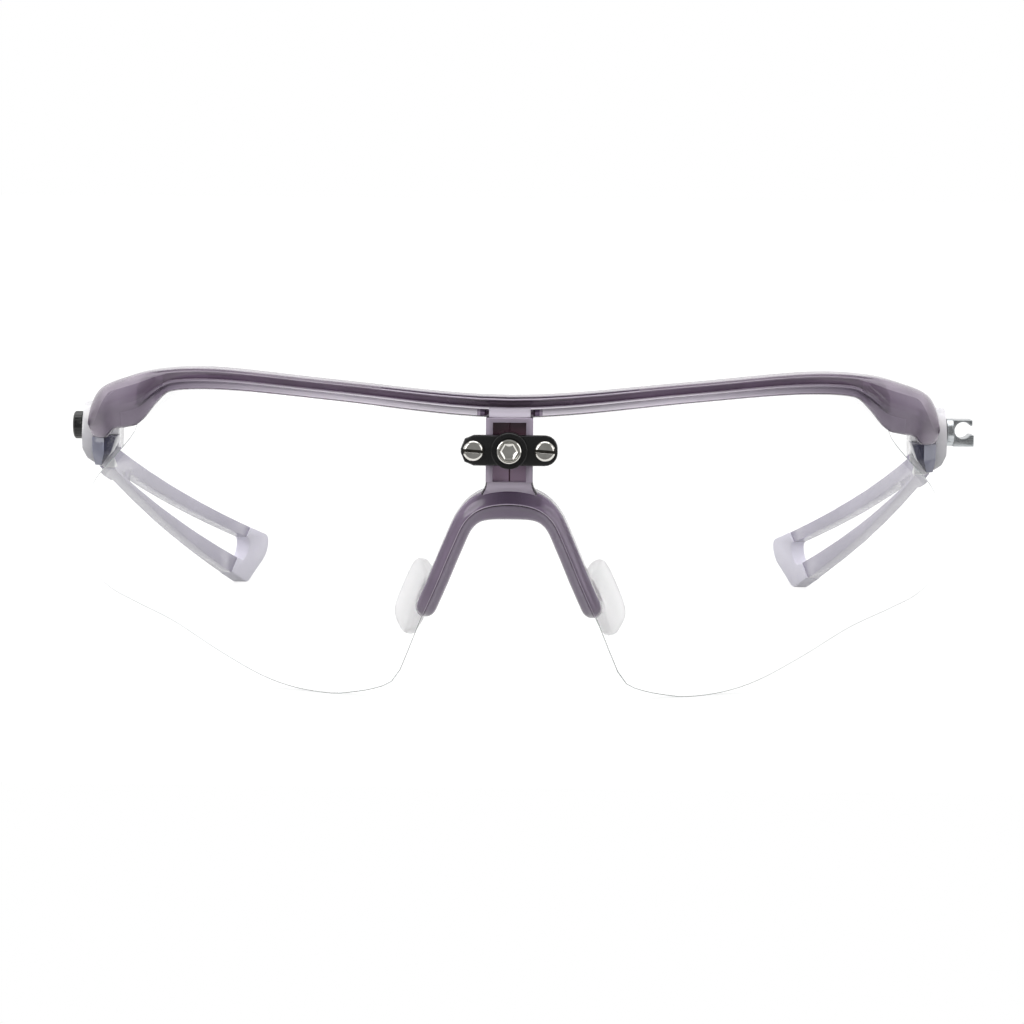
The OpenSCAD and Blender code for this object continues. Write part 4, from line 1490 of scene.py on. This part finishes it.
    def build(self, finishes: Finishes) -> None:
        """Builds and dresses the mount.

        Args:
            finishes: The finishes.
        """
        finished(self.build_plate(), Body.SLIDER, finishes, "black_nylon", "mount_bracket")
        finished(self.build_socket_screw(), Body.SLIDER, finishes, "nickel_plate",
                 "mount_socket_screw")
        screw = self.build_slotted_screw()
        twin = copied(screw, "slotted_screw_left",
                      Matrix.Translation(Vector((-self.spacing * MM, 0, 0))))
        middle = row(0, self.slot_front, self.middle_z)
        for one in (screw, twin):
            finished(one, Body.SLIDER, finishes, "nickel_plate", "optic_screws")
            # Painted shade in the milled slots.
            mark(one, finishes, "milled_shaded_slot", lambda face: (
                abs(face.center.z - middle.z) < (self.slot_w / 2 + 0.14) * MM
                and 0.06 * MM < face.center.y - middle.y < (self.slot_deep + 0.03) * MM))
        finished(self.build_nut(), Body.SLIDER, finishes, "satin_stainless",
                 "mount_nut_plate")


@dataclass
class Arms:
    """The hinge blocks, hinge screws, temples and soft tips, in millimetres."""

    frame: dict
    cheek_y: float = CHEEK_Y
    cheek_z: float = CHEEK_Z
    cheek_r: float = 6.3
    cheek_back: float = 4.7
    hinge_x: float = HINGE_X
    hinge_y: float = HINGE_Y
    block_top: float = 40.7
    block_h: float = 4.9
    knuckle_r: float = 2.0
    block_reach: float = 6.1
    # The block's taper: share of the way down, and its inner and outer side.
    taper: tuple[Triple, ...] = (
        (0.0, -2.1, 2.3), (0.5, -1.3, 2.3), (0.56, -1.2, 2.2), (1.0, 0.4, 1.6))

    def build_block(self, side: Side) -> bpy.types.Object:
        """Builds a hinge block: a pointed wedge with a ridge between two front facets.

        Args:
            side: Side of the glasses.

        Returns:
            The block.
        """
        r, front = self.knuckle_r + 0.1, self.hinge_y - self.block_reach
        plan = [(-r, front + 0.5), (-0.1, front), (r, front + 0.9)]
        plan += [(r * math.cos(a), self.hinge_y + r * math.sin(a)) for a in (
            math.radians(15 * i) for i in range(13))]
        rings = []
        for share, low, high in self.taper:
            z = self.block_top - share * self.block_h
            rings.append([row(side.value * (self.hinge_x + min(max(x, low), high)), y, z)
                          for x, y in plan])
        block = loft(f"block_{side.name.lower()}", rings)
        round_edges(block, 0.14)
        shade(block)
        return block

    def build(self, finishes: Finishes) -> None:
        """Builds and dresses both arms.

        Args:
            finishes: The finishes.
        """
        cheek = row(0, self.cheek_y, self.cheek_z)
        back = cheek.y + self.cheek_back * MM
        for side, body in ((Side.LEFT, Body.LEFT_TEMPLE), (Side.RIGHT, Body.RIGHT_TEMPLE)):
            end, out = side.name.lower(), side.value
            block = self.build_block(side)
            finished(block, Body.FRONT, finishes, "dark_polycarbonate", f"hinge_block_{end}")
            # Painted light on the facets that face front and outwards.
            mark(block, finishes, "lit_polycarbonate",
                 lambda face: face.normal.y < -0.3 and face.normal.x * out > 0.2)
            screw = softened_node(self.frame, f"hinge_screw_{end}", f"pivot_{end}", 0.08)
            finished(screw, Body.FRONT, finishes, "satin_stainless", f"hinge_screw_{end}")
            arm = softened_node(self.frame, f"temple_{end}", f"arm_{end}", 0.3)
            finished(arm, body, finishes, "lavender_polyamide", f"temple_{end}")
            mark(arm, finishes, "lavender_polyamide_thin", lambda face: (
                face.center.y < back or math.hypot(
                    face.center.y - cheek.y, face.center.z - cheek.z) < self.cheek_r * MM))
            tip = softened_node(self.frame, f"temple_tip_{end}", f"soft_tip_{end}", 0.3)
            finished(tip, body, finishes, "soft_rubber", f"temple_tip_{end}")


@dataclass
class SideFittings:
    """The black knob at the left and the steel cable clip at the right, in millimetres."""

    frame: dict
    axis_y: float = CHEEK_Y
    axis_z: float = CHEEK_Z
    r: float = 2.45
    seat: float = 76.5
    knob_t: float = 1.7
    flute: float = 0.07
    flutes: int = 24

    def build_knob(self) -> bpy.types.Object:
        """Builds the knob's cap with fine grip flutes and a chamfered face.

        Returns:
            The cap.
        """
        r, t, count = self.r, self.knob_t, 4 * self.flutes
        rings = []
        # Distance out from the seat, radius, and depth of the flutes.
        for out, radius, flute in (
            (0.0, r - 0.12, 0.0), (0.1, r, 0.0), (0.3, r, self.flute), (t - 0.45, r, self.flute),
            (t - 0.3, r - 0.02, 0.0), (t - 0.05, r - 0.28, 0.0), (t, r - 0.45, 0.0),
            (t - 0.12, r - 0.6, 0.0), (t - 0.12, r - 1.6, 0.0),
        ):
            ring = []
            for i in range(count):
                a = 2 * math.pi * i / count
                wide = radius - flute * (0.5 + 0.5 * math.cos(self.flutes * a))
                ring.append(row(-self.seat - out, self.axis_y + wide * math.cos(a),
                                self.axis_z + wide * math.sin(a)))
            rings.append(ring)
        knob = loft("knob", rings)
        shade(knob, angle=40)
        return knob

    def build(self, finishes: Finishes) -> None:
        """Builds and dresses both fittings.

        Args:
            finishes: The finishes.
        """
        finished(self.build_knob(), Body.KNOB, finishes, "black_nylon", "knob_cap")
        clip = softened_node(self.frame, "cable_clip", "clip_jaw", 0.12)
        finished(clip, Body.CLIP, finishes, "satin_stainless", "cable_clip")
        # The small parts of the CAD stay as they are and only get their finishes.
        for part, finish in (
            ("stud", "satin_stainless"), ("bush", "turned_brass"), ("washer", "dark_acetal")
        ):
            for fitting in ("knob", "clip"):
                finishes.dress(self.frame["nodes"][f"{fitting}_{part}"], finish)


@dataclass
class Studio:
    """Floor, plain soft light and the camera."""

    floor_y: float = 2940.0
    floor_z: float = -0.02
    floor_side: float = 6.0
    floor_glow: float = 0.86
    # The room is grey in front of the glasses and white from their side back, and this
    # share of it, over this level, lights them.
    room_span: Point = (-0.7, 0.25)
    room_grey: float = 0.28
    room_share: float = 0.25
    room_level: float = 0.4
    # Soft square lamps: name, place and side in metres, and power in watts. They all
    # look at one point of the glasses.
    lamp_aim: Triple = (0.0, 40.0, 25.0)
    lamps: tuple[tuple[str, Triple, float, float], ...] = (
        ("overhead", (0.0, 0.1, 0.9), 1.0, 6.0), ("key_left", (-0.8, -0.7, 0.45), 0.7, 5.0),
        ("fill_right", (0.9, -0.5, 0.25), 0.8, 3.0))
    # The photograph's camera, fitted to the outline of the glasses.
    camera_place: Triple = (7.953, -495.064, 90.135)
    camera_turn: float = 0.864
    camera_tilt: float = 6.602
    camera_roll: float = 0.432
    camera_focus: float = 3080 / 1024
    sensor: float = 36.0

    def build_floor(self) -> None:
        """Lays the pale floor, which keeps the soft shadow of the glasses."""
        floor = start("floor", bpy.ops.mesh.primitive_plane_add, size=self.floor_side,
                      location=row(0, self.floor_y, self.floor_z))
        bpy.ops.object.transform_apply(location=True, rotation=False, scale=False)
        material = bpy.data.materials.new("pale_floor")
        material.use_nodes = True
        tree = material.node_tree
        tree.nodes.clear()
        path = add_node(tree, "ShaderNodeLightPath")
        seen = add_node(tree, "ShaderNodeMath", {".operation": "MAXIMUM"}, {
            "0": path.outputs["Is Camera Ray"], "1": path.outputs["Is Glossy Ray"]})
        seen = add_node(tree, "ShaderNodeMath", {".operation": "MAXIMUM"}, {
            "0": seen.outputs[0], "1": path.outputs["Is Transmission Ray"]})
        level = add_node(tree, "ShaderNodeMath", {
            ".operation": "MULTIPLY", "1": self.floor_glow}, {"0": seen.outputs[0]})
        glow = add_node(tree, "ShaderNodeEmission", {"Color": linear("#ffffff")},
                        {"Strength": level.outputs[0]})
        matt = add_node(tree, "ShaderNodeBsdfDiffuse", {"Color": linear("#8c8c8c")})
        both = add_node(tree, "ShaderNodeAddShader", links={
            "0": glow.outputs[0], "1": matt.outputs[0]})
        add_node(tree, "ShaderNodeOutputMaterial", links={"Surface": both.outputs[0]})
        floor.data.materials.append(material)

    def build_world(self) -> None:
        """Fills the room: white where it is seen, softer and greyer where it lights."""
        world = bpy.data.worlds.new("room")
        bpy.context.scene.world = world
        world.use_nodes = True
        tree = world.node_tree
        tree.nodes.clear()
        path = add_node(tree, "ShaderNodeLightPath")
        place = add_node(tree, "ShaderNodeTexCoord")
        split = add_node(tree, "ShaderNodeSeparateXYZ", links={
            "Vector": place.outputs["Generated"]})
        room = add_node(tree, "ShaderNodeMapRange", {
            "From Min": self.room_span[0], "From Max": self.room_span[1],
            "To Min": self.room_grey, "To Max": 1.0}, {"Value": split.outputs["Y"]})
        diffuse = add_node(tree, "ShaderNodeMath", {
            ".operation": "MULTIPLY_ADD", "1": self.room_share, "2": self.room_level,
        }, {"0": room.outputs["Result"]})
        glossy = add_node(tree, "ShaderNodeMix", {".data_type": "FLOAT"}, {
            "Factor": path.outputs["Is Glossy Ray"], "2": diffuse.outputs[0],
            "3": room.outputs["Result"]})
        seen = add_node(tree, "ShaderNodeMath", {".operation": "MAXIMUM"}, {
            "0": path.outputs["Is Camera Ray"], "1": path.outputs["Is Transmission Ray"]})
        level = add_node(tree, "ShaderNodeMix", {".data_type": "FLOAT", "3": 1.0}, {
            "Factor": seen.outputs[0], "2": glossy.outputs[0]})
        back = add_node(tree, "ShaderNodeBackground", {"Color": linear("#ffffff")},
                        {"Strength": level.outputs[0]})
        add_node(tree, "ShaderNodeOutputWorld", links={"Surface": back.outputs[0]})

    def build_lights(self) -> None:
        """Sets a large lamp overhead, a key at the left and a fill at the right."""
        aim = row(*self.lamp_aim)
        for name, place, side, power in self.lamps:
            data = bpy.data.lights.new(name, "AREA")
            data.size = side
            data.energy = power
            lamp = bpy.data.objects.new(name, data)
            bpy.context.collection.objects.link(lamp)
            lamp.location = place
            lamp.rotation_euler = (aim - Vector(place)).to_track_quat("-Z", "Y").to_euler()

    def build_camera(self) -> None:
        """Puts the camera where the photograph was taken from."""
        data = bpy.data.cameras.new("photo_camera")
        data.sensor_fit = "HORIZONTAL"
        data.sensor_width = self.sensor
        data.lens = self.camera_focus * self.sensor
        data.clip_start = 0.01
        data.clip_end = 20.0
        camera = bpy.data.objects.new("photo_camera", data)
        bpy.context.collection.objects.link(camera)
        turn = (Matrix.Rotation(math.radians(self.camera_turn), 4, "Z")
                @ Matrix.Rotation(math.radians(90 - self.camera_tilt), 4, "X")
                @ Matrix.Rotation(math.radians(self.camera_roll), 4, "Z"))
        camera.matrix_world = Matrix.Translation(row(*self.camera_place)) @ turn
        bpy.context.scene.camera = camera

    def build(self) -> None:
        """Builds the floor, room, lamps and camera, and keeps the plain view."""
        self.build_floor()
        self.build_world()
        self.build_lights()
        self.build_camera()
        bpy.context.scene.view_settings.view_transform = "Standard"


def main() -> None:
    """Builds the glasses in order."""
    logging.basicConfig(level=logging.INFO, format="%(message)s")
    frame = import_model()
    finishes = Finishes()
    brow = Brow()
    shield = Shield(brow)
    brow.build(shield.top(), finishes)
    shield.build(finishes)
    NoseBridge(shield).build(finishes)
    Mount().build(finishes)
    Arms(frame).build(finishes)
    SideFittings(frame).build(finishes)
    Studio().build()


if __name__ == "__main__":
    main()
